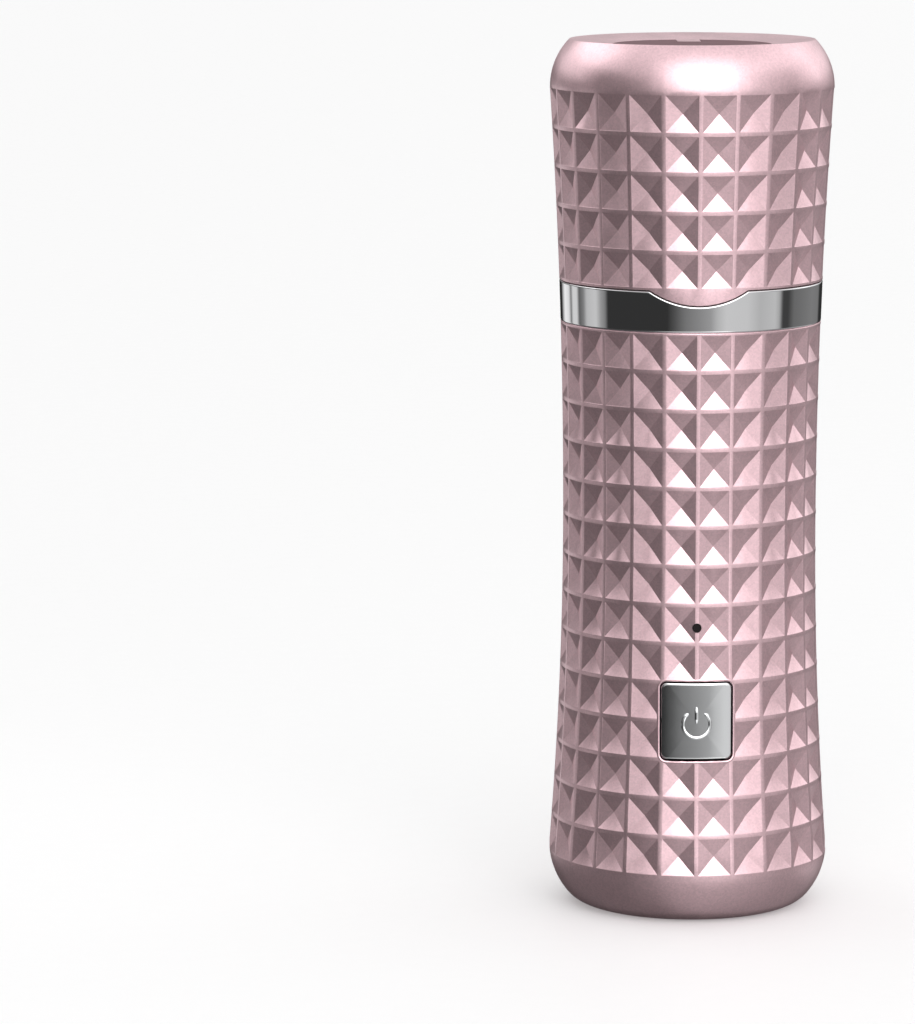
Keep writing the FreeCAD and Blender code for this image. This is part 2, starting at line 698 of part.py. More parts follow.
def bezel_ring():
    """The ring between handle and cap, with a thumb notch at the front."""
    body = make_body("bezel_ring")
    spin(body, [
        to("ring_bore", "housing_top"),
        to(flare_at("housing_top"), "housing_top"),
        to(flare_at("ring_top"), "ring_top", "flare_radius"),
        to("ring_bore", "ring_top"),
    ])
    above = "(ring_top + 1)"
    half = chord("notch_radius", f"notch_centre - {above}")
    sketch = sketch_on(body, "XZ_Plane")
    outline(sketch, [to(f"-{half}", above), to(half, above, "notch_radius", left=True)])
    pocket(body, sketch, "foot_radius + 1")


# ---------------------------------------------------------------- handle: chassis, cell, board

def chassis():
    """The inner frame: a shell open at the front, with plates for the cell, board and motor."""
    body = make_body("chassis")
    front = "board_back"
    inner = "(chassis_radius - chassis_wall)"
    outer_x = chord("chassis_radius", front)
    inner_x = chord(inner, front)
    shell = outline(sketch_on(body, offset="floor_plate"), [
        to(outer_x, f"-{front}"),
        to(ZERO, "chassis_radius", "chassis_radius", left=True),
        to(f"-{outer_x}", f"-{front}", "chassis_radius", left=True),
        to(f"-{inner_x}", f"-{front}"),
        to(ZERO, inner, inner),
        to(inner_x, f"-{front}", inner),
    ])
    pad(body, shell, "chassis_top - floor_plate")
    motor_plates = ("motor_bottom + magnet_rise", "chassis_top - plate_thick")
    for height in ("floor_plate", *BOARD_PLATES, *motor_plates):
        plate = outline(sketch_on(body, offset=height), [
            to(outer_x, f"-{front}"),
            to(ZERO, "chassis_radius", "chassis_radius", left=True),
            to(f"-{outer_x}", f"-{front}", "chassis_radius", left=True),
        ])
        pad(body, plate, "plate_thick")
    boss_bottom = "(floor_top + cover_gap)"
    boss = circle(sketch_on(body, offset=boss_bottom), "boss_radius", y="screw_offset")
    pad(body, boss, f"floor_plate - {boss_bottom}")
    screw = circle(sketch_on(body), "screw_radius", y="screw_offset")
    pocket(body, screw, "screw_sink + screw_head_tall + screw_reach")
    cell = circle(sketch_on(body, offset="battery_bottom"), "battery_radius", y="battery_offset")
    pocket(body, cell, "end_cap_bottom - battery_bottom")
    cradle = rectangle(sketch_on(body), "2 * cradle_half", f"{front} - cradle_reach",
                       y=f"-({front} + cradle_reach) / 2")
    pocket(body, cradle, "end_cap_bottom")
    motor = motor_outline(sketch_on(body, offset="end_cap_bottom"))
    pocket(body, motor, "motor_length + end_cap_thick")
    for x, z in board_screw_places():
        hole = circle(sketch_on(body, "XZ_Plane", "board_front - board_screw_reach"),
                      "board_screw_radius", x=x, y=z)
        pocket(body, hole, "board_screw_reach")


def battery_cell():
    """One rechargeable cell, standing behind the board."""
    body = make_body("battery_cell")
    spin(body, [
        to(ZERO, "battery_bottom"),
        to("battery_radius - battery_edge", "battery_bottom"),
        to("battery_radius", "battery_bottom + battery_edge", "battery_edge", left=True),
        to("battery_radius", "battery_top - battery_edge"),
        to("battery_radius - battery_edge", "battery_top", "battery_edge", left=True),
        to("contact_size", "battery_top"),
        to("contact_size", "battery_top + contact_tall"),
        to(ZERO, "battery_top + contact_tall"),
    ])
    bind(body, "Placement.Base.y", "battery_offset")


def battery_tabs():
    """The two welded strips between the cell and the board."""
    strips = [block("tab_width", "board_back + tab_reach", "tab_thick", y="-board_back", z=height)
              for height in ("battery_bottom - tab_thick", "battery_top + contact_tall")]
    keep(group(*strips), "battery_tabs")


def board_screw_places():
    """Where the board screws stand, as (x, z) expressions."""
    return [(f"{side}board_screw_side", f"{height} + plate_thick / 2")
            for side in ("-", "") for height in BOARD_PLATES]


def circuit_board():
    """The board behind the button, drilled for its screws."""
    board = block("2 * board_half_width", "board_thick", "board_top - board_bottom",
                  y="-board_front", z="board_bottom")
    holes = [cylinder("board_screw_radius", "board_thick", x=x, y="-board_back", z=z, to_front=True)
             for x, z in board_screw_places()]
    keep(cut(board, *holes), "circuit_board")


def board_screws():
    """Four small screws that hold the board to the chassis."""
    screws = []
    for x, z in board_screw_places():
        head = cylinder("2 * board_screw_radius", "board_screw_head", x=x, y="-board_front", z=z,
                        to_front=True)
        shank = cylinder("board_screw_radius", "board_screw_reach", x=x,
                         y="board_screw_reach - board_front", z=z, to_front=True)
        screws.append(fuse(head, shank))
    keep(group(*screws), "board_screws")


def board_components():
    """Charge controller, coil, capacitors and motor driver: width, depth, height, x and z of each."""
    behind = (
        ("5.0", "1.1", "5.0", ZERO, "battery_bottom + 4.7"),
        ("3.6", "1.4", "3.6", ZERO, "battery_bottom + 12.7"),
        ("2.0", "1.2", "1.2", "3", "battery_bottom + 21.7"),
        ("2.0", "1.2", "1.2", "-3", "battery_bottom + 21.7"),
        ("4.0", "1.1", "4.4", ZERO, "battery_top - 18.3"),
    )
    ahead = (
        ("1.6", "0.8", "0.8", "4.5", "lamp_height"),
        ("1.6", "0.8", "0.8", "-4.5", "lamp_height"),
        ("3.0", "1.0", "3.0", ZERO, "board_top - 8.5"),
    )
    items = [block(width, depth, tall, x=x, y="-board_back", z=z) for width, depth, tall, x, z in behind]
    items += [block(width, depth, tall, x=x, y=f"-board_front - {depth}", z=z)
              for width, depth, tall, x, z in ahead]
    keep(group(*items), "board_components")


def charging_socket():
    """The charging socket's shell and its contact tongue, mouth down."""
    body = make_body("charging_socket_shell")
    shell = rectangle(sketch_on(body, offset="socket_sink"), "socket_width", "socket_depth",
                      y="-socket_offset", corner="socket_corner")
    pad(body, shell, "socket_tall")
    inside = rectangle(sketch_on(body, offset="socket_sink"), "socket_width - 2 * socket_wall",
                       "socket_depth - 2 * socket_wall", y="-socket_offset",
                       corner="socket_corner - socket_wall")
    pocket(body, inside, "socket_tall - socket_wall")
    tongue = block("tongue_width", "tongue_thick", "socket_tall - socket_wall - tongue_sink",
                   y="-socket_offset - tongue_thick / 2", z="socket_sink + tongue_sink")
    keep(tongue, "charging_socket_tongue")


# ---------------------------------------------------------------- handle: button, switch, lamp

def lower_curve(height, inset):
    """Radius of the handle's lower curve at a height, moved in by an inset."""
    return f"(waist_radius - {inset} + lower_radius - sqrt(lower_radius^2 - (waist_height - {height})^2))"


def power_button():
    """The button: a face curved like the handle, a flange behind the wall and a short stem."""
    body = make_body("power_button")
    face = rectangle(sketch_on(body, "XZ_Plane", "flange_front"), "button_width", "button_tall",
                     y="button_height", corner="button_corner - button_gap / 2")
    pad(body, face, "foot_radius - flange_front")
    flange = rectangle(sketch_on(body, "XZ_Plane", "flange_back"), "flange_wide", "flange_high",
                       y="button_height")
    pad(body, flange, "flange_thick")
    stem = circle(sketch_on(body, "XZ_Plane", "plunger_front + stem_gap"), "stem_radius",
                  y="button_height")
    pad(body, stem, "flange_back - plunger_front - stem_gap")
    low, high = "(button_height - flange_high)", "(button_height + flange_high)"
    outside = "(1.5 * foot_radius)"
    spin(body, [
        to(outside, low),
        to(outside, high),
        to(lower_curve(high, "button_sink"), high),
        to(lower_curve(low, "button_sink"), low, "lower_radius", left=True),
    ], cut=True)


def button_gasket():
    """The soft frame between the button's flange and the housing."""
    body = make_body("button_gasket")
    frame = rectangle(sketch_on(body, "XZ_Plane", "gasket_back"), "flange_wide", "flange_high",
                      y="button_height")
    pad(body, frame, "gasket_thick")
    hole = rectangle(sketch_on(body, "XZ_Plane", "gasket_back"), "opening_width", "opening_tall",
                     y="button_height")
    pocket(body, hole, "gasket_thick")


def switch():
    """The push switch on the board and its plunger."""
    depth = "(plunger_depth + button_travel + plunger_gap)"
    body = block("switch_size", "switch_tall", "switch_size", y="-switch_front",
                 z="button_height - switch_size / 2")
    bore = cylinder("plunger_radius + plunger_gap", depth, y=f"{depth} - switch_front",
                    z="button_height", to_front=True)
    keep(cut(body, bore), "switch_body")
    plunger = cylinder("plunger_radius", "plunger_reach + plunger_depth",
                       y="plunger_depth - switch_front", z="button_height", to_front=True)
    keep(plunger, "switch_plunger")


def lamp():
    """The lamp on the board and the clear rod that brings its light to the front."""
    led = block("lamp_width", "lamp_thick", "lamp_tall", y="-board_front - lamp_thick",
                z="lamp_height - lamp_tall / 2")
    keep(led, "indicator_led")
    rod = cylinder("pipe_radius", "waist_radius - board_front - lamp_thick",
                   y="-board_front - lamp_thick", z="lamp_height", to_front=True)
    flange = cylinder("pipe_flange", "pipe_flange_thick", y="2 * pipe_flange_thick - bore_radius",
                      z="lamp_height", to_front=True)
    keep(fuse(rod, flange), "light_pipe")


# ---------------------------------------------------------------- handle: motor and neck

def motor_outline(sketch, less=ZERO):
    """The motor's section: a circle with two flats, made smaller by a wall."""
    radius, flat = f"(motor_radius - {less})", f"(motor_flat - {less})"
    half = chord(radius, flat)
    return outline(sketch, [
        to(half, f"-{flat}"),
        to(half, flat, radius, left=True),
        to(f"-{half}", flat),
        to(f"-{half}", f"-{flat}", radius, left=True),
    ])


def motor_can():
    """The motor's steel can, closed at the top."""
    body = make_body("motor_can")
    pad(body, motor_outline(sketch_on(body, offset="motor_bottom")), "motor_length")
    inside = motor_outline(sketch_on(body, offset="motor_bottom"), "can_wall")
    pocket(body, inside, "motor_length - can_top")
    pocket(body, circle(sketch_on(body, offset="deck_bottom - can_top"), "bush_radius"), "can_top")
    motor_screw_holes(body, "deck_bottom - can_top", "can_top")


def motor_screw_holes(body, height, depth):
    """Two holes for the motor's screws."""
    for side in ("-", ""):
        hole = circle(sketch_on(body, offset=height), "motor_screw_radius", y=f"{side}motor_screw_offset")
        pocket(body, hole, depth)


def motor_end_cap():
    """The plastic end of the motor, with a hole for the rear bush."""
    body = make_body("motor_end_cap")
    pad(body, motor_outline(sketch_on(body, offset="end_cap_bottom")), "end_cap_thick")
    pocket(body, circle(sketch_on(body, offset="end_cap_bottom"), "rear_bush_radius"), "end_cap_thick")


def motor_small_parts():
    """Terminals, brushes, magnets, bushes and screws of the motor."""
    terminals, brushes, magnets, screws = [], [], [], []
    for side, turn in (("-", "180"), ("", "0")):
        terminals.append(block("strip_thick", "terminal_width", "terminal_tall",
                               x=f"{side}terminal_offset", y="-terminal_width / 2",
                               z="end_cap_bottom - terminal_tall"))
        brushes.append(block("strip_thick", "brush_width", "commutator_rise + 0.75 * commutator_length",
                             x=f"{side}(commutator_radius + brush_gap + strip_thick / 2)",
                             y="-brush_width / 2", z="motor_bottom"))
        sectors = [cylinder(radius, "motor_length - magnet_rise - magnet_drop",
                            z="motor_bottom + magnet_rise")
                   for radius in ("motor_radius - can_wall", "magnet_inner")]
        for sector in sectors:
            bind(sector, "Angle", "magnet_angle")
            bind(sector, "Placement.Rotation.Angle", f"{turn} - magnet_angle / 2")
        magnets.append(cut(*sectors))
        screws.append(fuse(
            cylinder("motor_screw_head", "motor_screw_tall", y=f"{side}motor_screw_offset", z="deck_top"),
            cylinder("motor_screw_radius", "deck_thick + can_top", y=f"{side}motor_screw_offset",
                     z="deck_bottom - can_top"),
        ))
    keep(group(*terminals), "motor_terminals")
    keep(group(*brushes), "motor_brushes")
    keep(group(*magnets), "motor_magnets")
    keep(group(*screws), "motor_screws")
    bore = "shaft_radius + shaft_gap"
    front = tube("bush_radius", bore, "can_top + bush_rise", "deck_bottom - can_top")
    rear = tube("rear_bush_radius", bore, "end_cap_thick", "end_cap_bottom")
    keep(group(front, rear), "motor_bushes")


def motor_lead(label, side):
    """One wire from a motor terminal forward, down, and on to the back of the board."""
    x = side * amount("terminal_offset - strip_thick / 2 - lead_radius")
    top = amount("end_cap_bottom - terminal_tall + lead_radius + 0.1")
    low = amount("board_top - lead_drop")
    run = -amount("lead_front")
    bend = amount("lead_bend")
    corners = [FreeCAD.Vector(x, y, z) for y, z in ((0, top), (run, top), (run, low), (0, low))]
    corners[-1].y = -amount("board_back")
    edges = []
    here = corners[0]
    for before, corner, after in zip(corners, corners[1:], corners[2:]):
        arrive = (corner - before).normalize()
        leave = (after - corner).normalize()
        first, last = corner - arrive * bend, corner + leave * bend
        middle = corner + (leave - arrive) * bend * (1 - math.sqrt(0.5))
        edges.append(Part.LineSegment(here, first).toShape())
        edges.append(Part.Arc(first, middle, last).toShape())
        here = last
    edges.append(Part.LineSegment(here, corners[-1]).toShape())
    section = Part.Wire(Part.makeCircle(amount("lead_radius"), corners[0], FreeCAD.Vector(0, -1, 0)))
    lead = doc.addObject("Part::Feature", label)
    lead.Shape = Part.Wire(edges).makePipeShell([section], True, False)
    lead.Placement = FreeCAD.Placement()
    keep(lead, label)


def neck_sleeve():
    """The chromed neck: spigot, collar, motor deck, seal groove and small ribs."""
    body = make_body("neck_sleeve")
    spigot = "(bore_radius - spigot_gap)"
    groove = "(seal_radius - 2 * seal_section)"
    collar = "(ring_bore - collar_gap)"
    spin(body, [
        to("neck_bore", "spigot_bottom"),
        to(spigot, "spigot_bottom"),
        to(spigot, "housing_top"),
        to(collar, "housing_top"),
        to(collar, "collar_top"),
        to("neck_radius", "collar_top"),
        to("neck_radius", "seal_height - seal_section"),
        to(groove, "seal_height - seal_section"),
        to(groove, "seal_height + seal_section"),
        to("neck_radius", "seal_height + seal_section"),
        to("neck_radius", "neck_top"),
        to("neck_bore", "neck_top"),
        to("neck_bore", "deck_top"),
        to("shaft_seal_radius", "deck_top"),
        to("shaft_seal_radius", "deck_bottom + bush_rise"),
        to("bush_radius", "deck_bottom + bush_rise"),
        to("bush_radius", "deck_bottom"),
        to("neck_bore", "deck_bottom"),
    ])
    rib = rectangle(sketch_on(body, offset="collar_top"), "rib_width", "rib_root + rib_proud",
                    y="-(neck_radius + rib_proud - (rib_root + rib_proud) / 2)")
    around(body, pad(body, rib, "rib_top - collar_top"), "rib_count", True)
    motor_screw_holes(body, "deck_bottom", "deck_thick")


def neck_seal():
    """The soft ring that grips the cap."""
    seal = doc.addObject("Part::Torus", "seal")
    bind(seal, "Radius1", "seal_radius - seal_section")
    bind(seal, "Radius2", "seal_section")
    set_base(seal, ZERO, ZERO, "seal_height")
    keep(seal, "neck_seal")


def shaft_seal():
    """The rubber seal around the motor shaft."""
    keep(tube("shaft_seal_radius", "shaft_radius + 2 * shaft_gap", "deck_thick - bush_rise",
              "deck_bottom + bush_rise"), "shaft_seal")


# ---------------------------------------------------------------- rotor and drive

def rotor():
    """Shaft, armature and commutator, which turn together."""
    keep(cylinder("shaft_radius", "shaft_top - shaft_bottom", z="shaft_bottom"), "motor_shaft")
    body = make_body("armature")
    pad(body, circle(sketch_on(body, offset="armature_bottom"), "armature_radius"), "armature_length")
    slot = rectangle(sketch_on(body, offset="armature_bottom"), "armature_slot", "armature_radius",
                     y="armature_radius")
    around(body, pocket(body, slot, "armature_length"), "3", False)
    pocket(body, circle(sketch_on(body, offset="armature_bottom"), "shaft_radius"), "armature_length")
    keep(tube("commutator_radius", "shaft_radius", "commutator_length", "commutator_bottom"), "commutator")


def drive_spindle():
    """The plastic spindle on the shaft, with a spring seat and a square head."""
    body = make_body("drive_spindle")
    spin(body, [
        to("shaft_radius", "spindle_bottom"),
        to("spindle_flange", "spindle_bottom"),
        to("spindle_flange", "spindle_bottom + flange_tall"),
        to("spindle_radius", "spindle_bottom + flange_tall"),
        to("spindle_radius", "spring_seat - seat_tall"),
        to("spring_seat_radius", "spring_seat - seat_tall"),
        to("spring_seat_radius", "spring_seat"),
        to(ZERO, "spring_seat"),
        to(ZERO, "shaft_top"),
        to("shaft_radius", "shaft_top"),
    ])
    head = rectangle(sketch_on(body, offset="spring_seat"), "square_side", "square_side")
    pad(body, head, "spindle_top - spring_seat")


def drive_spring():
    """The coil spring that lifts the cutter against the foil."""
    body = make_body("drive_spring")
    section = circle(sketch_on(body, "XZ_Plane"), "spring_wire", "spring_radius", "spring_seat + spring_wire")
    coil = body.newObject("PartDesign::AdditiveHelix", "coil")
    coil.Profile = section
    coil.ReferenceAxis = (section, ["V_Axis"])
    coil.Mode = "pitch-height-angle"
    bind(coil, "Pitch", "spring_pitch")
    bind(coil, "Height", "spring_length - 2 * spring_wire")
    changed(body, coil, True)


# ---------------------------------------------------------------- head

def head_cover():
    """The chromed cover around the foil."""
    body = make_body("head_cover")
    inner_corner = "(head_corner - head_wall)"
    spin(body, [
        to("head_inner", "head_bottom"),
        to("neck_radius", "head_bottom"),
        to("neck_radius", "head_top - head_corner"),
        to("neck_radius - head_corner", "head_top", "head_corner", left=True),
        to("head_hole", "head_top"),
        to("head_hole", "head_top - head_wall"),
        to(f"head_inner - {inner_corner}", "head_top - head_wall"),
        to("head_inner", f"head_top - head_wall - {inner_corner}", inner_corner),
    ])


def head_insert():
    """The plug that holds the head in the neck and carries the cutter retainer."""
    body = make_body("head_insert")
    spin(body, [
        to("plug_radius - plug_wall", "plug_bottom"),
        to("plug_radius", "plug_bottom"),
        to("plug_radius", "head_bottom"),
        to("head_inner", "head_bottom"),
        to("head_inner", "retainer_bottom"),
        to("head_inner - plug_wall", "retainer_bottom"),
        to("head_inner - plug_wall", "head_bottom + insert_floor"),
        to("plug_radius - plug_wall", "head_bottom + insert_floor"),
    ])


def cutter_retainer():
    """The spider that keeps the cutter in the head when the head is pulled off."""
    body = make_body("cutter_retainer")
    rim = circle(sketch_on(body, offset="retainer_bottom"), "head_inner")
    pad(body, circle(rim, "head_inner - 2 * plug_wall"), "retainer_thick")
    inner, outer = "(retainer_bore + retainer_rim / 2)", "(head_inner - plug_wall)"
    arm = rectangle(sketch_on(body, offset="retainer_bottom"), "retainer_arm", f"{outer} - {inner}",
                    y=f"({outer} + {inner}) / 2")
    around(body, pad(body, arm, "retainer_thick"), "retainer_arms", True)
    hub = circle(sketch_on(body, offset="retainer_bottom"), "retainer_bore + retainer_rim")
    pad(body, hub, "retainer_thick")
    pocket(body, circle(sketch_on(body, offset="retainer_bottom"), "retainer_bore"), "retainer_thick")


def foil_guard():
    """The slotted metal foil, a thin cup with a flange."""
    body = make_body("foil_guard")
    inner = "(foil_radius - foil_wall)"
    step = "(foil_top - track_step)"
    spin(body, [
        to(ZERO, f"{step} - foil_wall"),
        to("track_inner", f"{step} - foil_wall"),
        to("track_inner", "foil_top - foil_wall"),
        to(inner, "foil_top - foil_wall"),
        to(inner, "flange_low"),
        to("foil_flange", "flange_low"),
        to("foil_flange", "flange_top"),
        to("foil_radius", "flange_top"),
        to("foil_radius", "foil_top - foil_round"),
        to("foil_radius - foil_round", "foil_top", "foil_round", left=True),
        to("track_inner - foil_wall", "foil_top"),
        to("track_inner - foil_wall", step),
        to(ZERO, step),
    ])
    slot = rectangle(sketch_on(body, offset="foil_top - 2 * foil_wall"), "slot_width",
                     "foil_radius + 1 - slot_inner", y="-(foil_radius + 1 + slot_inner) / 2")
    around(body, pocket(body, slot, "3 * foil_wall"), "slot_count", False)


def foil_carrier():
    """The plastic ring under the foil's flange."""
    keep(tube("carrier_radius", "carrier_inner", "carrier_tall", "flange_low - carrier_tall"),
         "foil_carrier")


def cutter():
    """The spinning cutter: a disc with upright blades, and its driven hub."""
    body = make_body("cutter_blade")
    pad(body, circle(sketch_on(body, offset="cutter_bottom"), "cutter_radius"), "cutter_thick")
    outer = "(cutter_radius - blade_edge)"
    blade = rectangle(sketch_on(body, offset="disc_top"), "blade_thick", f"{outer} - blade_inner",
                      y=f"({outer} + blade_inner) / 2")
    around(body, pad(body, blade, "foil_top - foil_wall - blade_top_gap - disc_top"), "blade_count", True)
    hub = make_body("cutter_hub")
    pad(hub, circle(sketch_on(hub, offset="hub_bottom"), "hub_radius"), "hub_tall")
    socket = rectangle(sketch_on(hub, offset="hub_bottom"), "square_side + 2 * square_gap",
                       "square_side + 2 * square_gap")
    pocket(hub, socket, "hub_tall - hub_web")


# ---------------------------------------------------------------- cap

def cap_shell():
    """The cap's outer shell, with a tab that fills the ring's thumb notch."""
    body = make_body("cap_shell")
    low = "(mouth - notch_depth - 0.5)"
    hold = "(disc_radius + disc_gap)"
    spin(body, [
        to("cap_bore", low),
        to(flare_at(low), low),
        to(flare_at("crown_height"), "crown_height", "flare_radius"),
        to("rim_radius", "total_height", "crown_round", left=True),
        to(hold, "dish_floor"),
        to(hold, "pocket_floor"),
        to(ZERO, "pocket_floor"),
        to(ZERO, "cap_ceiling"),
        to("cap_bore", "cap_ceiling"),
    ])
    side = "(foot_radius + 1)"
    under = "(mouth - notch_depth - 1)"
    tab = "(notch_radius - mouth_gap)"
    half = chord(tab, "notch_centre - mouth")
    front = outline(sketch_on(body, "XZ_Plane"), [
        to(f"-{side}", under),
        to(side, under),
        to(side, "mouth"),
        to(half, "mouth"),
        to(f"-{half}", "mouth", tab),
        to(f"-{side}", "mouth"),
    ])
    pocket(body, front, side)
    back = rectangle(sketch_on(body, "XZ_Plane"), f"2 * {side}", f"mouth - {under}",
                     y=f"(mouth + {under}) / 2")
    pocket(body, back, side, forward=False)
    key = rectangle(sketch_on(body, offset="pocket_floor"), "key_width - 2 * disc_gap",
                    "key_reach - disc_gap", y=f"{hold} - (key_reach - disc_gap) / 2")
    pad(body, key, "disc_thick")


def cap_liner():
    """The inner sleeve of the cap, which grips the neck seal."""
    body = make_body("cap_liner")
    spin(body, [
        to("liner_inner", "liner_bottom"),
        to("liner_outer", "liner_bottom"),
        to("liner_outer", "liner_top"),
        to(ZERO, "liner_top"),
        to(ZERO, "liner_top - liner_roof"),
        to("liner_inner", "liner_top - liner_roof"),
    ])


def cap_top_disc():
    """The dark disc in the top of the cap, with a key notch at the back."""
    body = make_body("cap_top_disc")
    pad(body, circle(sketch_on(body, offset="pocket_floor"), "disc_radius"), "disc_thick")
    notch = rectangle(sketch_on(body, offset="pocket_floor"), "key_width", "key_reach + 1",
                      y="disc_radius + disc_gap + 1 - (key_reach + 1) / 2")
    pocket(body, notch, "disc_thick")


# ---------------------------------------------------------------- build, check, write

def build():
    """Make every sub-part."""
    handle_housing()
    base_cover()
    base_screw()
    bezel_ring()
    chassis()
    battery_cell()
    battery_tabs()
    circuit_board()
    board_screws()
    board_components()
    charging_socket()
    power_button()
    button_gasket()
    switch()
    lamp()
    motor_can()
    motor_end_cap()
    motor_small_parts()
    motor_lead("motor_lead_red", 1)
    motor_lead("motor_lead_black", -1)
    neck_sleeve()
    neck_seal()
    shaft_seal()
    rotor()
    drive_spindle()
    drive_spring()
    head_cover()
    head_insert()
    cutter_retainer()
    foil_guard()
    foil_carrier()
    cutter()
    cap_shell()
    cap_liner()
    cap_top_disc()


def check():
    """Stop if any object failed or any sub-part is not a sound solid."""
    doc.recompute()
    for item in doc.Objects:
        if "Invalid" in item.State or "Error" in item.State:
            raise RuntimeError(f"{item.Label} failed: {item.State}")
    for part in parts:
        if part.Shape.isNull() or not part.Shape.isValid() or part.Shape.Volume <= 0:
            raise RuntimeError(f"{part.Label} is not a sound solid")


def write():
    """Write each sub-part to its own file."""
    os.makedirs("parts", exist_ok=True)
    for part in parts:
        part.Shape.exportStep(f"parts/{part.Label}.step")
        print(f"{part.Label}: {len(part.Shape.Solids)} solid(s), {part.Shape.Volume:.1f} mm3")


sheet = make_sheet()
build()
check()
write()
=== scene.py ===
"""Finished look of a rotary hair remover on a pale studio floor.

A diamond-cut handle and cap in rose metallic paint, a chromed ring, neck and head, a slotted
foil and a polished button are built around the packed frame.  Lengths are in metres.
"""
import json
import math

import bmesh
import bpy
from bpy.props import FloatProperty, FloatVectorProperty, IntProperty, PointerProperty
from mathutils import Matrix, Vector


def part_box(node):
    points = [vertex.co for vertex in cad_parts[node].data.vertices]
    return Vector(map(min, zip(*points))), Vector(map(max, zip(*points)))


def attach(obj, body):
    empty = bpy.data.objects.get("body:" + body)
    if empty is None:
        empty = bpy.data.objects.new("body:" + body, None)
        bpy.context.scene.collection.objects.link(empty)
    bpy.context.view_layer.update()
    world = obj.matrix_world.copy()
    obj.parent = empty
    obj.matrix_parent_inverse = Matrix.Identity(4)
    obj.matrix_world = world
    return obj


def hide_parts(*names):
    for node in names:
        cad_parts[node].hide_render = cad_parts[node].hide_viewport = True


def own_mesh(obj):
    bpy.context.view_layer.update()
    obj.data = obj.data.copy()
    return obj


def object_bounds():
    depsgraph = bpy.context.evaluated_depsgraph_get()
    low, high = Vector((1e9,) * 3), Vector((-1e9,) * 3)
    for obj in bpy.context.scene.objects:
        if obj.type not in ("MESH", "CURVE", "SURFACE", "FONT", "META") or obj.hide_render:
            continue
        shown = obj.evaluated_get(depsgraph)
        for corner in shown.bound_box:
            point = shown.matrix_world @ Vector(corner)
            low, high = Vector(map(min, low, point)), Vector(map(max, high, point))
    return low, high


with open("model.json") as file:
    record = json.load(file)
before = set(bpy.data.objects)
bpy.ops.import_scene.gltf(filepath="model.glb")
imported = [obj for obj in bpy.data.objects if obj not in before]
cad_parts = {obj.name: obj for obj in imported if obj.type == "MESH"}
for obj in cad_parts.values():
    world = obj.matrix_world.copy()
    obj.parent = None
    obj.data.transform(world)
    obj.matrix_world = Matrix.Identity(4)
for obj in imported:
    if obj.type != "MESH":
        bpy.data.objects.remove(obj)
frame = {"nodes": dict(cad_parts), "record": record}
CAD_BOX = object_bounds()

bl_info = {
    "name": "Rotary Hair Remover",
    "version": (1, 0, 0),
    "blender": (4, 5, 0),
    "location": "3D View > Sidebar > Remover",
    "description": "Builds the finished look of a rotary hair remover around its frame",
    "category": "Object",
}

MM = 0.001
TURN = 2 * math.pi
CREASE = math.radians(14)       # an edge that turns more than this stays sharp
ROUND_CREASE = math.radians(35)  # the same, on pieces with rounded edges
SHELL_EDGE = 0.12 * MM          # rounding of the shells' rims


def low(node):
    """Lowest corner of a CAD node."""
    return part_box(node)[0]


def high(node):
    """Highest corner of a CAD node."""
    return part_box(node)[1]


# ---------------------------------------------------------------- sizes and colours

def size(name, description, default, smallest=0.0, largest=1.0):
    """A length property."""
    return FloatProperty(name=name, description=description, default=default, min=smallest,
                         max=largest, subtype="DISTANCE", unit="LENGTH", precision=5)


def colour(name, description, default):
    """A colour property."""
    return FloatVectorProperty(name=name, description=description, default=default, size=3,
                               min=0.0, max=1.0, subtype="COLOR")


class FormSizes(bpy.types.PropertyGroup):
    """The outer curve shared by handle, ring and cap."""
    waist_radius: size("Waist radius", "Narrowest radius of the handle", 17.5 * MM)
    waist_height: size("Waist height", "Height of the waist", 54 * MM)
    flare_bend: size("Flare bend", "Radius of the long curve above the waist", 891 * MM)
    foot_bend: size("Foot bend", "Radius of the long curve below the waist", 588.7 * MM)
    foot_height: size("Foot height", "Height of the widest point near the foot", 8 * MM)
    foot_round: size("Foot rounding", "Lower rounding of the foot", 4.4 * MM)
    foot_sweep: size("Foot sweep", "Upper rounding of the foot", 10.035 * MM)
    contact_radius: size("Contact radius", "Outer edge of the flat foot", 13.6 * MM)
    crown_round: size("Crown rounding", "Rounding of the cap's shoulder", 9.3 * MM)
    crown_tall: size("Crown height", "Height of the cap's shoulder", 6.5 * MM)


class DiamondSizes(bpy.types.PropertyGroup):
    """The cut pattern of handle and cap."""
    columns: IntProperty(name="Columns", description="Pits around the body", default=24, min=3)
    handle_rows: IntProperty(name="Handle rows", description="Rows of pits on the handle",
                             default=14, min=1)
    cap_rows: IntProperty(name="Cap rows", description="Rows of pits on the cap", default=5, min=1)
    row_pitch: size("Row pitch", "Height of one row", 5.3 * MM)
    rib_width: size("Rib width", "Width of the flat rib between pits", 0.42 * MM)
    pit_depth: size("Pit depth", "Depth of a pit at its point", 0.72 * MM)
    lip: size("Lip", "Smooth edge above the top row of the handle", 0.27 * MM)
    edge_soft: size("Soft edge", "Width of the softened edge inside a pit", 0.07 * MM)
    side_steps: IntProperty(name="Side steps", description="Divisions along one side of a pit",
                            default=4, min=2)


class FoilSizes(bpy.types.PropertyGroup):
    """The slotted foil."""
    slots: IntProperty(name="Slots", description="Slots around the outer track", default=100, min=8)
    slot_share: FloatProperty(name="Slot share", description="Part of each pitch that is open",
                              default=0.46, min=0.0, max=1.0, subtype="FACTOR")
    tooth_drop: size("Tooth drop", "How far the slots run down the side", 0.85 * MM)
    wall: size("Wall", "Thickness of the foil", 0.35 * MM)
    edge_round: size("Edge rounding", "Rounding of the foil's upper edge", 0.5 * MM)


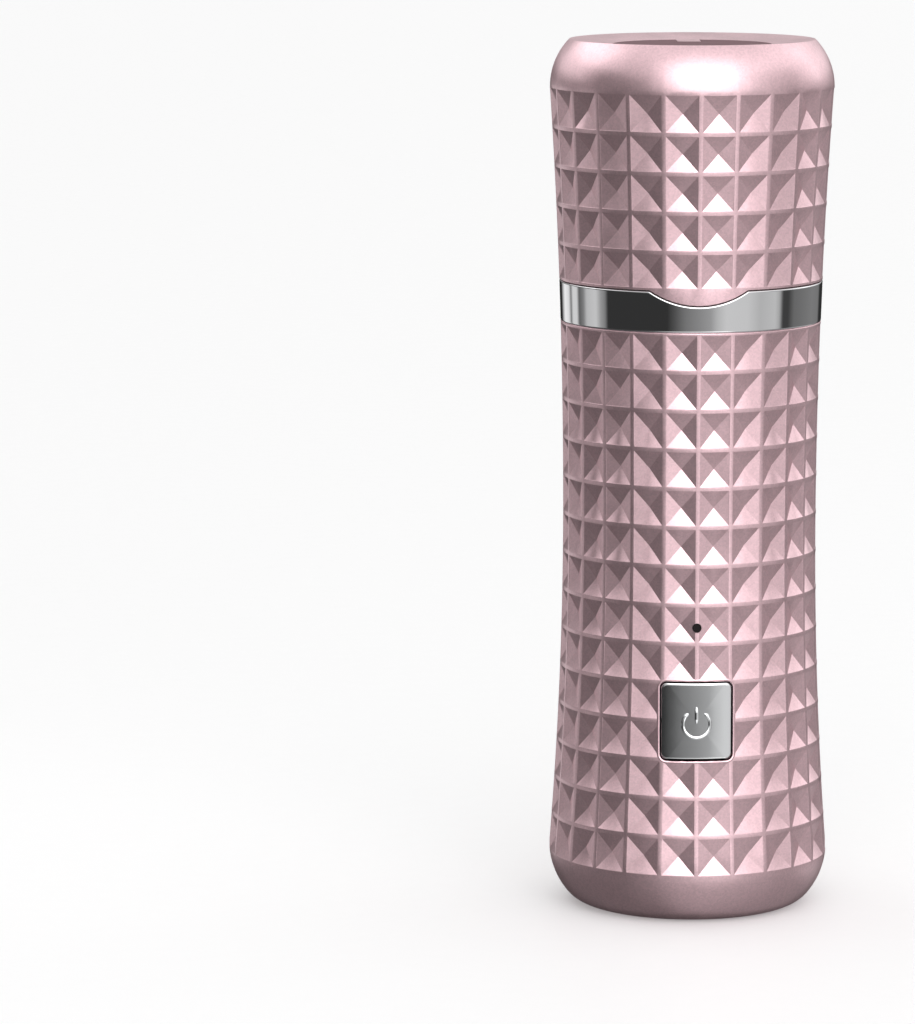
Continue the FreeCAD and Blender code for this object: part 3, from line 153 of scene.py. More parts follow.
class ButtonSizes(bpy.types.PropertyGroup):
    """The power button."""
    gap: size("Gap", "Gap between button and opening", 0.16 * MM)
    corner: size("Corner", "Corner of the button face", 0.85 * MM)
    edge_round: size("Edge rounding", "Rounded edge of the face", 0.26 * MM)
    symbol_radius: size("Symbol radius", "Radius of the raised power symbol", 1.87 * MM)
    symbol_line: size("Symbol line", "Half width of the symbol's line", 0.25 * MM)
    symbol_drop: size("Symbol drop", "How far the ring sits below the middle", 0.42 * MM)


class FinishColours(bpy.types.PropertyGroup):
    """The colours of the finishes that show."""
    rose: colour("Rose paint", "Metallic paint of handle and cap", (0.82, 0.57, 0.61))
    # The disc's dark colour is painted shade: it stands in for the shade seen in the cap's dish.
    disc: colour("Cap disc", "Disc in the top of the cap", (0.17, 0.10, 0.11))
    chrome: colour("Chrome", "Ring, neck and head", (0.83, 0.83, 0.84))
    button: colour("Button", "Polished button", (0.90, 0.91, 0.92))
    silicone: colour("Silicone", "Neck seal", (0.55, 0.56, 0.57))
    foil: colour("Foil", "Slotted foil", (0.72, 0.69, 0.67))


class StageSizes(bpy.types.PropertyGroup):
    """Camera and floor."""
    lens: FloatProperty(name="Lens", description="Focal length in millimetres", default=182.81,
                        min=10.0, subtype="DISTANCE_CAMERA")
    distance: size("Distance", "From the camera to the handle's axis", 713.9 * MM, 0.1, 10.0)
    height: size("Height", "Camera above the floor", 158.6 * MM, 0.0, 10.0)
    around: FloatProperty(name="Around", description="Camera's turn to the left of the front",
                          default=math.radians(3.7), subtype="ANGLE")
    heading: FloatProperty(name="Heading", description="Camera's turn to the right",
                           default=math.radians(1.12), subtype="ANGLE")
    pitch: FloatProperty(name="Pitch", description="Camera's tilt down",
                         default=math.radians(8.3), subtype="ANGLE")


GROUPS = {
    "remover_form": FormSizes,
    "remover_diamonds": DiamondSizes,
    "remover_foil": FoilSizes,
    "remover_button": ButtonSizes,
    "remover_finish": FinishColours,
    "remover_stage": StageSizes,
}


def settings(name):
    """One group of settings of the scene."""
    return getattr(bpy.context.scene, f"remover_{name}")


# ---------------------------------------------------------------- outer form

def arc_run(radius, offset):
    """Half chord of a circle at an offset from its centre."""
    return math.sqrt(max(radius * radius - offset * offset, 0.0))


def outer_radius(z):
    """Radius of the outer surface at a height, from the foot's wide part upward."""
    form = settings("form")
    bend = form.flare_bend if z > form.waist_height else form.foot_bend
    level = max(z, form.foot_height)
    radius = form.waist_radius + bend - arc_run(bend, level - form.waist_height)
    return radius - form.foot_sweep + arc_run(form.foot_sweep, level - z)


def foot_curve(top, steps=10):
    """Profile of the foot, from under the last row of pits down to the flat it stands on."""
    form = settings("form")
    widest = outer_radius(form.foot_height)
    upper = Vector((widest - form.foot_sweep, form.foot_height))
    lower = Vector((form.contact_radius, form.foot_round))
    meet = (lower - upper).normalized()
    bend = math.atan2(-meet.y, meet.x)
    start = math.asin((form.foot_height - top) / form.foot_sweep)
    run = [upper + form.foot_sweep * Vector((math.cos(a), -math.sin(a)))
           for a in (start + (bend - start) * k / steps for k in range(1, steps + 1))]
    rest = math.pi / 2 - bend
    run += [lower + form.foot_round * Vector((math.cos(a), -math.sin(a)))
            for a in (bend + rest * k / steps for k in range(1, steps + 1))]
    return [tuple(p) for p in run]


def crown_curve(top, steps=14):
    """Profile of the cap's shoulder, from the last row of pits up to the rim."""
    form = settings("form")
    base = top - form.crown_tall
    centre = outer_radius(base) - form.crown_round
    last = math.asin(form.crown_tall / form.crown_round)
    return [(centre + form.crown_round * math.cos(a), base + form.crown_round * math.sin(a))
            for a in (last * k / steps for k in range(1, steps + 1))]


def fillet(before, corner, after, radius, steps=3):
    """Points that round a corner of a profile."""
    corner, before, after = Vector(corner), Vector(before), Vector(after)
    first = (before - corner).normalized()
    second = (after - corner).normalized()
    half = first.angle(second) / 2
    reach = radius / math.tan(half)
    centre = corner + (first + second).normalized() * (radius / math.sin(half))
    start, end = corner + first * reach, corner + second * reach
    turn = (start - centre).angle_signed(end - centre)
    points = []
    for k in range(steps + 1):
        a = -turn * k / steps
        spoke = start - centre
        points.append((centre.x + spoke.x * math.cos(a) - spoke.y * math.sin(a),
                       centre.y + spoke.x * math.sin(a) + spoke.y * math.cos(a)))
    return points


# ---------------------------------------------------------------- mesh building

def mesh_object(name, bm):
    """Put a bmesh into the scene as an object."""
    mesh = bpy.data.meshes.new(name)
    bm.to_mesh(mesh)
    bm.free()
    obj = bpy.data.objects.new(name, mesh)
    bpy.context.scene.collection.objects.link(obj)
    return obj


def piece(name, bm, body, material, stands_for, sharp=CREASE):
    """Turn a bmesh into a piece that rides on a body in place of CAD nodes."""
    bmesh.ops.recalc_face_normals(bm, faces=bm.faces)
    obj = mesh_object(name, bm)
    smooth(obj.data, sharp)
    obj.data.materials.append(material)
    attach(obj, body)
    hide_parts(*stands_for)
    return obj


def smooth(mesh, sharp):
    """Smooth shading with creases kept."""
    mesh.shade_smooth()
    mesh.set_sharp_from_angle(angle=sharp)


def loft(bm, loops, close_start=True, close_end=True):
    """Join closed loops of equal length by faces; ends are closed by one face each."""
    rings = [[bm.verts.new(p) for p in loop] for loop in loops]
    count = len(rings[0])
    for lower, upper in zip(rings, rings[1:]):
        for k in range(count):
            n = (k + 1) % count
            bm.faces.new((lower[k], lower[n], upper[n], upper[k]))
    if close_start:
        bm.faces.new(rings[0])
    if close_end:
        bm.faces.new(rings[-1])
    return rings


def rounded_box(width, tall, corner, steps=6):
    """Outline of a rectangle with rounded corners, as (x, z), the same count for any size."""
    points = []
    for k, (sx, sz) in enumerate(((1, 1), (-1, 1), (-1, -1), (1, -1))):
        cx, cz = sx * (width / 2 - corner), sz * (tall / 2 - corner)
        nx, nz = (-1, 0) if k % 2 == 0 else (0, -1)
        nx, nz = (nx, nz) if k < 2 else (-nx, -nz)
        for i in range(steps + 1):
            a = math.pi / 2 * (k + i / steps)
            points.append((cx + corner * math.cos(a), cz + corner * math.sin(a)))
        run = (width if k % 2 == 0 else tall) - 2 * corner
        last = points[-1]
        points += [(last[0] + nx * run * i / 4, last[1] + nz * run * i / 4) for i in (1, 2, 3)]
    return points


def cut_away(obj, cutters):
    """Cut solids out of a piece, and leave the plain result as its mesh."""
    for cutter in cutters:
        modifier = obj.modifiers.new("cut", "BOOLEAN")
        modifier.operation = "DIFFERENCE"
        modifier.solver = "EXACT"
        modifier.object = cutter
    graph = bpy.context.evaluated_depsgraph_get()
    result = bpy.data.meshes.new_from_object(obj.evaluated_get(graph))
    materials = list(obj.data.materials)
    obj.modifiers.clear()
    obj.data = result
    result.materials.clear()
    for material in materials:
        result.materials.append(material)
    smooth(result, CREASE)
    for cutter in cutters:
        bpy.data.objects.remove(cutter)


def cutter(name, loops):
    """A solid that only cuts."""
    bm = bmesh.new()
    loft(bm, loops)
    bmesh.ops.recalc_face_normals(bm, faces=bm.faces)
    return mesh_object(name, bm)


def front_prism(name, outline, y_from, y_to, z):
    """A cutter through the front: an (x, z) outline swept along y."""
    return cutter(name, [[(x, y, z + up) for x, up in outline] for y in (y_from, y_to)])


def foot_prism(name, outline, y, z_from, z_to):
    """A cutter through the foot: an (x, y) outline swept up."""
    return cutter(name, [[(x, y + deep, z) for x, deep in outline] for z in (z_from, z_to)])


def circle(radius, count=32):
    """Outline of a circle."""
    return [(radius * math.cos(TURN * k / count), radius * math.sin(TURN * k / count))
            for k in range(count)]


# ---------------------------------------------------------------- diamond-cut shells

def column_angles(rib_angle, marks=()):
    """Angles around the body, with whether the step after each one crosses a pit."""
    diamonds = settings("diamonds")
    column = TURN / diamonds.columns
    angles = []
    for k in range(diamonds.columns):
        start = k * column + rib_angle / 2 - math.pi / 2
        run = column - rib_angle
        inner = [start + run * s / diamonds.side_steps for s in range(diamonds.side_steps + 1)]
        for mark in marks:
            near = min(range(1, diamonds.side_steps), key=lambda s: abs(inner[s] - mark))
            if abs(inner[near] - mark) < run / diamonds.side_steps:
                inner[near] = mark
        angles += [(a, s < diamonds.side_steps) for s, a in enumerate(inner)]
    return angles


def pit_row(bottom, top, steps):
    """Heights across one row, with whether the step after each one crosses a pit."""
    return [(bottom + (top - bottom) * s / steps, s < steps) for s in range(steps + 1)]


def diamond_shell(bm, stations, angles, lowered=None):
    """A closed body of revolution in which the marked steps of the stations become pits.

    stations are (radius, z, open), from one point on the axis to the other."""
    count = len(angles)
    rings = []
    for row, (radius, z, _) in enumerate(stations):
        if radius == 0:
            rings.append([bm.verts.new((0, 0, z))] * count)
            continue
        on_skin = radius >= outer_radius(z) - MM / 2
        ring = []
        for angle, _ in angles:
            drop = lowered(row, angle) if lowered else None
            height = z if drop is None else drop
            wide = outer_radius(drop) if on_skin and drop is not None else radius
            ring.append(bm.verts.new((wide * math.cos(angle), wide * math.sin(angle), height)))
        rings.append(ring)
    for row in range(len(stations) - 1):
        under, over = rings[row], rings[row + 1]
        for col in range(count):
            if stations[row][2] and angles[col][1]:
                continue
            after = (col + 1) % count
            corners = (under[col], under[after], over[after], over[col])
            bm.faces.new(list(dict.fromkeys(corners)))
    row_starts = [r for r in range(len(stations)) if stations[r][2] and not stations[r - 1][2]]
    col_starts = [c for c in range(count) if angles[c][1] and not angles[c - 1][1]]
    for row in row_starts:
        for col in col_starts:
            sink_pit(bm, rings, row, col)


def sink_pit(bm, rings, row, col):
    """One pit: a softened edge, then four flat faces that meet in a point."""
    diamonds = settings("diamonds")
    steps, count = diamonds.side_steps, len(rings[0])

    def at(r, c):
        return rings[row + r][(col + c) % count]

    loop = [at(0, c) for c in range(steps)] + [at(r, steps) for r in range(steps)]
    loop += [at(steps, c) for c in range(steps, 0, -1)] + [at(r, 0) for r in range(steps, 0, -1)]
    first, opposite = loop[0].co, loop[2 * steps].co
    z = (first.z + opposite.z) / 2
    middle = first + opposite
    out = Vector((middle.x, middle.y, 0)).normalized()
    point = out * (outer_radius(z) - diamonds.pit_depth) + Vector((0, 0, z))
    reach = (first - opposite).length / 2 / math.sqrt(2)
    soft = diamonds.edge_soft / reach
    slope = diamonds.pit_depth / reach
    previous = loop
    for part, lift in ((soft, 0.5 * slope * diamonds.edge_soft), (1.5 * soft, 0)):
        ring = [bm.verts.new(v.co.lerp(point, part) + out * lift) for v in loop]
        for k in range(4 * steps):
            n = (k + 1) % (4 * steps)
            bm.faces.new((previous[k], previous[n], ring[n], ring[k]))
        previous = ring
    tip = bm.verts.new(point)
    for k in range(4 * steps):
        bm.faces.new((previous[k], previous[(k + 1) % (4 * steps)], tip))


def rib_angle():
    """Angle that a rib takes up around the waist."""
    return settings("diamonds").rib_width / settings("form").waist_radius


def handle_stations(top, bore, floor_top, floor_bottom, cover):
    """The handle's stations, from inside the floor, over the top and down to the foot."""
    diamonds = settings("diamonds")
    rim = (outer_radius(top), top)
    lip = fillet((bore, top), rim, (rim[0], 0), SHELL_EDGE)
    stations = [(r, z, False) for r, z in ((0, floor_top), (bore, floor_top), (bore, top), *lip)]
    half_rib = diamonds.rib_width / 2
    for row in range(diamonds.handle_rows):
        upper = top - row * diamonds.row_pitch - (diamonds.lip if row == 0 else half_rib)
        under = top - (row + 1) * diamonds.row_pitch
        under += 0 if row == diamonds.handle_rows - 1 else half_rib
        stations += [(outer_radius(z), z, o) for z, o in pit_row(upper, under, diamonds.side_steps)]
    stations += [(r, z, False) for r, z in foot_curve(under)]
    stations += [(cover, 0, False), (cover, floor_bottom, False), (0, floor_bottom, False)]
    return stations


def opening_frame(bm, width, tall, corner, z):
    """The narrow raised frame around the button's opening."""
    rim, proud, laid, root = 0.34 * MM, 0.05 * MM, 0.02 * MM, 1.2 * MM

    def on_skin(grow, inset):
        outline = rounded_box(width + 2 * grow, tall + 2 * grow, corner + grow)
        return [(x, -arc_run(outer_radius(z + up) - inset, x), z + up) for x, up in outline]

    loft_ring(bm, [on_skin(0, root), on_skin(0, 0), on_skin(rim / 2, -proud),
                   on_skin(rim, laid), on_skin(rim, root)])


def loft_ring(bm, loops):
    """Join loops into a closed ring: the last one meets the first."""
    rings = loft(bm, loops, False, False)
    count = len(rings[0])
    for k in range(count):
        n = (k + 1) % count
        bm.faces.new((rings[-1][k], rings[-1][n], rings[0][n], rings[0][k]))


def build_handle():
    """Diamond-cut handle housing with its button opening, lamp hole and foot."""
    form, button = settings("form"), settings("button")
    top, floor = high("handle_housing").z, high("base_cover").z
    wall_gap, cover_gap, floor_rise = 0.2 * MM, 0.1 * MM, 1.8 * MM
    bore = high("chassis").x + wall_gap
    bm = bmesh.new()
    stations = handle_stations(top, bore, floor + floor_rise, floor + cover_gap,
                               high("base_cover").x + cover_gap)
    diamond_shell(bm, stations, column_angles(rib_angle()))
    obj = piece("housing_skin", bm, "handle", rose_paint(), ["handle_housing"])

    face_low, face_high = button_face()
    wide = face_high[0] - face_low[0] + 2 * button.gap
    tall = face_high[1] - face_low[1] + 2 * button.gap
    middle = (face_low[1] + face_high[1]) / 2
    corner = button.corner + button.gap / 2
    outside = -form.waist_radius - 4 * MM
    above_floor = floor + 3 * MM
    seat = high("power_button").x + button.gap
    seat_extra, seat_corner, seat_depth = 0.9 * MM, 0.5 * MM, 0.7 * MM
    lamp, lamp_radius = (low("light_pipe").z + high("light_pipe").z) / 2, 0.65 * MM
    screw, screw_radius = (low("base_screw").y + high("base_screw").y) / 2, 1.2 * MM
    socket_low, socket_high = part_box("charging_socket_shell")
    socket_gap, socket_corner = 0.3 * MM, 1.35 * MM
    socket = rounded_box(socket_high.x - socket_low.x + socket_gap,
                         socket_high.y - socket_low.y + socket_gap, socket_corner)
    cut_away(obj, [
        front_prism("button_opening", rounded_box(wide, tall, corner), outside, -MM, middle),
        front_prism("button_seat", rounded_box(2 * seat, 2 * seat + seat_extra, seat_corner),
                    -bore + seat_depth, -MM, middle),
        front_prism("lamp_hole", circle(lamp_radius), outside, -MM, lamp),
        foot_prism("socket_opening", socket, (socket_low.y + socket_high.y) / 2, -MM, above_floor),
        foot_prism("screw_hole", circle(screw_radius), screw, -MM, above_floor),
    ])

    bm = bmesh.new()
    bm.from_mesh(obj.data)
    opening_frame(bm, wide, tall, corner, middle)
    bmesh.ops.recalc_face_normals(bm, faces=bm.faces)
    bm.to_mesh(obj.data)
    bm.free()
    smooth(obj.data, CREASE)


def tab_edge(angle, mouth, centre, radius):
    """Height of the cap's lower edge at an angle: level, with a rounded tab at the front."""
    x = outer_radius(mouth) * math.cos(angle)
    if math.sin(angle) > 0 or abs(x) >= arc_run(radius, centre - mouth):
        return mouth
    return centre - arc_run(radius, x)


def build_cap():
    """Diamond-cut cap with its smooth crown, thumb tab and dish."""
    form, diamonds = settings("form"), settings("diamonds")
    top, (disc_low, disc_high) = high("cap_shell").z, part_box("cap_top_disc")
    slip, ring_gap, ceiling_gap = 0.05 * MM, 0.15 * MM, 0.1 * MM
    tab_drop, tab_radius = 2.0 * MM, 11.97 * MM
    mouth = high("bezel_ring").z + ring_gap
    bore, hold = high("cap_liner").x + slip, disc_high.x + slip
    ceiling = high("cap_liner").z + ceiling_gap
    base = top - form.crown_tall
    centre = mouth - tab_drop + tab_radius
    tab_end = math.asin(arc_run(tab_radius, centre - mouth) / outer_radius(mouth))
    marks = [-math.pi / 2 + tab_end, 3 * math.pi / 2 - tab_end]
    stations = [(0, ceiling, False), (bore, ceiling, False), (bore, mouth, False),
                (outer_radius(mouth), mouth, False)]
    tab_rows = (len(stations) - 2, len(stations) - 1)
    half_rib = diamonds.rib_width / 2
    for row in range(diamonds.cap_rows):
        under = base - (diamonds.cap_rows - row) * diamonds.row_pitch
        under += diamonds.rib_width if row == 0 else half_rib
        upper = base - (diamonds.cap_rows - row - 1) * diamonds.row_pitch
        upper -= 0 if row == diamonds.cap_rows - 1 else half_rib
        stations += [(outer_radius(z), z, o) for z, o in pit_row(under, upper, diamonds.side_steps)]
    crown = crown_curve(top)
    dish = (hold, disc_high.z)
    stations += [(r, z, False) for r, z in crown[:-1]]
    stations += [(r, z, False) for r, z in fillet(crown[-2], crown[-1], dish, SHELL_EDGE)]
    stations += [(*dish, False), (hold, disc_low.z, False), (0, disc_low.z, False)]

    def lowered(row, angle):
        return tab_edge(angle, mouth, centre, tab_radius) if row in tab_rows else None

    bm = bmesh.new()
    diamond_shell(bm, stations, column_angles(rib_angle(), marks), lowered)
    key_in, key_root = 2.4 * MM, 0.2 * MM
    key = rounded_box(3.2 * MM, 4.95 * MM, 0.15 * MM)
    loft(bm, [[(x, hold - key_in + y, z) for x, y in key]
              for z in (disc_low.z - key_root, disc_high.z)])
    piece("cap_skin", bm, "cap", rose_paint(), ["cap_shell"])


# ---------------------------------------------------------------- ring

def build_ring():
    """Chromed ring whose rounded upper edge dips around the cap's tab."""
    lo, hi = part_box("bezel_ring")
    bore = settings("form").waist_radius - 0.5 * MM
    edge, support = 0.2 * MM, 0.1 * MM
    dip, notch = 2 * MM, 12.2 * MM
    centre = hi.z - dip + notch
    reach = arc_run(notch, centre - hi.z)
    count, beside = 288, 0.0003
    end = math.asin(reach / outer_radius(hi.z)) + beside
    turns = sorted([TURN * k / count for k in range(count)] + [end, TURN - end])
    sections = []
    for turn in turns:
        x = outer_radius(hi.z) * math.sin(turn)
        dips = math.cos(turn) > 0 and abs(x) < reach
        top = centre - arc_run(notch, x) if dips else hi.z
        foot, rim = (outer_radius(lo.z), lo.z), (outer_radius(top), top)
        section = [(bore, lo.z), *fillet((bore, lo.z), foot, rim, edge)]
        section += [(outer_radius(z), z) for z in (lo.z + edge + support, top - edge - support)]
        section += fillet(foot, rim, (bore, top), edge)
        section += fillet(rim, (bore, top), (bore, 0), edge / 2)
        sections.append([(r * math.sin(turn), -r * math.cos(turn), z) for r, z in section])
    bm = bmesh.new()
    loft_ring(bm, sections)
    piece("ring_chromed", bm, "handle", plain_finishes()["chrome_plate"],
          ["bezel_ring"], ROUND_CREASE)


# ---------------------------------------------------------------- button

def button_face():
    """Lower left and upper right corner of the button's face, as (x, z)."""
    flange = 0.8 * MM
    lap = flange + settings("button").gap
    lo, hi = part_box("power_button")
    return (lo.x + lap, lo.z + lap), (hi.x - lap, hi.z - lap)


def build_button():
    """Polished button with a rounded edge and a raised power symbol."""
    button = settings("button")
    (left, under), (right, upper) = button_face()
    wide, tall, middle = right - left, upper - under, (under + upper) / 2
    sink = 0.1 * MM

    def on_face(outline, inset):
        return [(x, -arc_run(outer_radius(middle + up) - sink - inset, x), middle + up)
                for x, up in outline]

    rounding = button.edge_round
    flat = rounded_box(wide - 2 * rounding, tall - 2 * rounding, button.corner)
    loops = [on_face([(x * part, up * part) for x, up in flat], 0)
             for part in (0.02, 0.3, 0.6, 0.85, 0.965)]
    edge_steps = 5
    for k in range(edge_steps + 1):
        a = math.pi / 2 * k / edge_steps
        inset = rounding * (1 - math.sin(a))
        outline = rounded_box(wide - 2 * inset, tall - 2 * inset, button.corner - inset * 0.5)
        loops.append(on_face(outline, rounding * (1 - math.cos(a))))
    lo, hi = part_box("power_button")
    front = -14.1 * MM
    back = front + 0.8 * MM
    flange = rounded_box(hi.x - lo.x, hi.z - lo.z, 0.3 * MM)
    stem = rounded_box(4 * MM, 4 * MM, 1.99 * MM)
    for shape, y in ((rounded_box(wide, tall, button.corner), front), (flange, front),
                     (flange, back), (stem, back), (stem, hi.y)):
        loops.append([(x, y, middle + up) for x, up in shape])
    bm = bmesh.new()
    loft(bm, loops)
    for path in power_symbol(button.symbol_radius, button.symbol_drop):
        raised_line(bm, path, button.symbol_line, middle, sink)
    piece("button_polished", bm, "button", button_metal(), ["power_button"],
          ROUND_CREASE)


def power_symbol(radius, drop):
    """Two lines: a ring open at the top, and a bar that reaches up through the opening."""
    gap = math.radians(37)
    ring = [(radius * math.sin(a), -radius * math.cos(a) - drop)
            for a in ((math.pi - gap) * (k / 18 - 1) for k in range(37))]
    bar = [(0, radius * (1.05 - 0.24 * k)) for k in range(6)]
    return [ring, bar]


def raised_line(bm, path, half, middle, sink):
    """A half-round line that stands up from the button's face along an (x, z) path."""
    sides, end_share, rise = 10, 0.45, 0.6
    loops = []
    for k, (x, up) in enumerate(path):
        before, after = path[max(k - 1, 0)], path[min(k + 1, len(path) - 1)]
        along = Vector((after[0] - before[0], after[1] - before[1])).normalized()
        across = Vector((-along.y, along.x))
        end = end_share if k in (0, len(path) - 1) else 1.0
        loop = []
        for s in range(sides):
            a = TURN * s / sides
            side = half * end * math.cos(a)
            px, pz = x + across.x * side, up + across.y * side
            proud = rise * half * end * math.sin(a)
            loop.append((px, -arc_run(outer_radius(middle + pz) - sink + proud, px), middle + pz))
        loops.append(loop)
    loft(bm, loops)


# ---------------------------------------------------------------- foil

def slotted_sheet(bm, outer, inner, slots, cuts, slot_share):
    """A thin body of revolution with radial slots where the profile steps are marked.

    outer and inner are matching lists of (radius, z); cuts holds the marked steps."""
    open_steps, bar_steps = 2, 3
    angles = []
    for k in range(slots):
        start = TURN * k / slots
        angles += [(start + TURN / slots * slot_share * s / open_steps, True)
                   for s in range(open_steps)]
        angles += [(start + TURN / slots * (slot_share + (1 - slot_share) * s / bar_steps), False)
                   for s in range(bar_steps)]
    count = len(angles)
    skins = [[[bm.verts.new((r * math.cos(a), r * math.sin(a), z)) for a, _ in angles]
              for r, z in profile] for profile in (outer, inner)]

    def solid(row, col):
        return 0 <= row < len(outer) - 1 and not (row in cuts and angles[col % count][1])

    for row in range(len(outer) - 1):
        for col in range(count):
            if not solid(row, col):
                continue
            nxt = (col + 1) % count
            for skin in skins:
                under, over = skin[row], skin[row + 1]
                bm.faces.new((under[col], under[nxt], over[nxt], over[col]))
            walls = (
                (solid(row - 1, col), (row, col), (row, nxt)),
                (solid(row + 1, col), (row + 1, col), (row + 1, nxt)),
                (solid(row, col - 1), (row, col), (row + 1, col)),
                (solid(row, col + 1), (row, nxt), (row + 1, nxt)),
            )
            for covered, (ra, ca), (rb, cb) in walls:
                if not covered:
                    bm.faces.new((skins[0][ra][ca], skins[0][rb][cb],
                                  skins[1][rb][cb], skins[1][ra][ca]))


def build_foil():
    """Slotted foil: toothed outer track, a step, and a finer inner track around a plain centre."""
    foil = settings("foil")
    lo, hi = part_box("foil_guard")
    top, wall, rounding = hi.z, foil.wall, foil.edge_round
    flange_wide, flange_tall, step = 0.85 * MM, 0.8 * MM, 0.8 * MM
    side = hi.x - flange_wide
    track = side - 4.75 * MM
    tooth = top - foil.tooth_drop - rounding / 2
    # each row is a point of the outer skin and the point of the inner skin behind it
    flange = [
        ((hi.x, lo.z), (side - wall - 0.05 * MM, lo.z)),
        ((hi.x, lo.z + flange_tall), (side - wall - 0.04 * MM, lo.z + 0.5 * flange_tall)),
        ((side, lo.z + flange_tall), (side - wall, lo.z + flange_tall)),
    ]
    outer_track = [((side, tooth), (side - wall, tooth))]
    centre, edge_steps = (side - rounding, top - rounding), 5
    for k in range(edge_steps + 1):
        a = math.pi / 2 * k / edge_steps
        outer_track.append([(centre[0] + r * math.cos(a), centre[1] + r * math.sin(a))
                            for r in (rounding, rounding - wall)])
    outer_track += [((r, top), (r, top - wall)) for r in (side - 3.2 * MM, track + 0.95 * MM)]
    floor, middle = top - step, top - step - 0.2 * MM
    drop = [
        ((track + 0.25 * MM, top), (track + 0.35 * MM, top - wall)),
        ((track + 0.12 * MM, top - 0.06 * MM), (track + 0.34 * MM, floor)),
        ((track, floor), (track + 0.3 * MM, floor - wall)),
    ]
    inner_track = [((track - run, floor), (track - run, floor - wall))
                   for run in (0.25 * MM, 1.8 * MM, 3.1 * MM)]
    plain = [
        ((track - 3.6 * MM, floor), (track - 3.6 * MM, floor - wall)),
        ((track - 3.75 * MM, middle), (track - 3.75 * MM, floor - wall - 0.1 * MM)),
        ((0.4 * MM, middle), (0.4 * MM, floor - wall - 0.1 * MM)),
    ]
    rows, cuts = [], set()
    for stretch, slotted in ((flange, False), (outer_track, True), (drop, False),
                             (inner_track, True), (plain, False)):
        if slotted:
            cuts.update(range(len(rows), len(rows) + len(stretch) - 1))
        rows += stretch
    bm = bmesh.new()
    slotted_sheet(bm, *zip(*rows), foil.slots, cuts, foil.slot_share)
    bmesh.ops.holes_fill(bm, edges=[e for e in bm.edges if e.is_boundary], sides=0)
    piece("foil_slotted", bm, "foil", foil_steel(), ["foil_guard"],
          math.radians(32))


# ---------------------------------------------------------------- drive spring

def build_spring():
    """Coil spring under the cutter."""
    lo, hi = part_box("drive_spring")
    wire, pitch, give = 0.25 * MM, 1.1 * MM, 0.8 * MM
    around, across = 40, 12
    radius = hi.x - wire
    tall = hi.z - lo.z - 2 * wire
    turns = tall / pitch
    steps = round(turns * around)
    loops = []
    for k in range(steps + 1):
        a = TURN * turns * k / steps
        z = lo.z + wire + tall * k / steps
        loop = []
        for s in range(across):
            b = TURN * s / across
            out = radius + wire * math.cos(b)
            loop.append((out * math.cos(a), out * math.sin(a), z + wire * math.sin(b)))
        loops.append(loop)
    bm = bmesh.new()
    loft(bm, loops)
    spring = piece("spring_coil", bm, "rotor", plain_finishes()["spring_steel"],
                   ["drive_spring"], math.radians(40))
    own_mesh(spring)


# ---------------------------------------------------------------- finishes

def add(tree, kind, **values):
    """A node with its settings; in_NAME or in_NUMBER gives an input its value."""
    node = tree.nodes.new(kind)
    for key, value in values.items():
        if key.startswith("in_"):
            socket = key[3:].replace("_", " ")
            node.inputs[int(socket) if socket.isdigit() else socket].default_value = value
        else:
            setattr(node, key, value)
    return node


def wire(tree, *runs):
    """Link nodes; each run is (node, output, node, input)."""
    for source, output, target, socket in runs:
        tree.links.new(source.outputs[output], target.inputs[socket])


def effect(name, inputs, outputs, fill):
    """A shader node group with named sockets, filled the first time it is asked for."""
    group = bpy.data.node_groups.get(name)
    if group is None:
        group = bpy.data.node_groups.new(name, "ShaderNodeTree")
        for label, kind, value in inputs:
            socket = group.interface.new_socket(label, in_out="INPUT", socket_type=kind)
            socket.default_value = value
        for label, kind in outputs:
            group.interface.new_socket(label, in_out="OUTPUT", socket_type=kind)
        fill(group, group.nodes.new("NodeGroupInput"), group.nodes.new("NodeGroupOutput"))
    return group


def fine_grain():
    """Fine grain: a height for bump and a mask for roughness."""
    def fill(group, start, end):
        place = add(group, "ShaderNodeTexCoord")
        scaled = add(group, "ShaderNodeVectorMath", operation="MULTIPLY")
        fine = add(group, "ShaderNodeTexNoise", in_Detail=3.0, in_Roughness=0.6)
        broad = add(group, "ShaderNodeTexNoise", in_Scale=260.0, in_Detail=2.0)
        wire(group, (place, "Object", scaled, 0), (start, "Stretch", scaled, 1),
             (scaled, 0, fine, "Vector"), (start, "Scale", fine, "Scale"),
             (place, "Object", broad, "Vector"), (fine, "Fac", end, "Height"),
             (broad, "Fac", end, "Mask"))

    return effect(
        "fine_grain",
        [("Scale", "NodeSocketFloat", 4000.0), ("Stretch", "NodeSocketVector", (1, 1, 1))],
        [("Height", "NodeSocketFloat"), ("Mask", "NodeSocketFloat")], fill)


def vary_colour(group, start, end, amount, source, output):
    """Lighten and darken a group's colour by how far a pattern is from its middle."""
    centred = add(group, "ShaderNodeMath", operation="SUBTRACT", in_1=0.5)
    scaled = add(group, "ShaderNodeMath", operation="MULTIPLY_ADD", in_2=1.0)
    tinted = add(group, "ShaderNodeVectorMath", operation="SCALE")
    wire(group, (source, output, centred, 0), (centred, 0, scaled, 0), (start, amount, scaled, 1),
         (start, "Color", tinted, 0), (scaled, 0, tinted, "Scale"), (tinted, 0, end, "Color"))


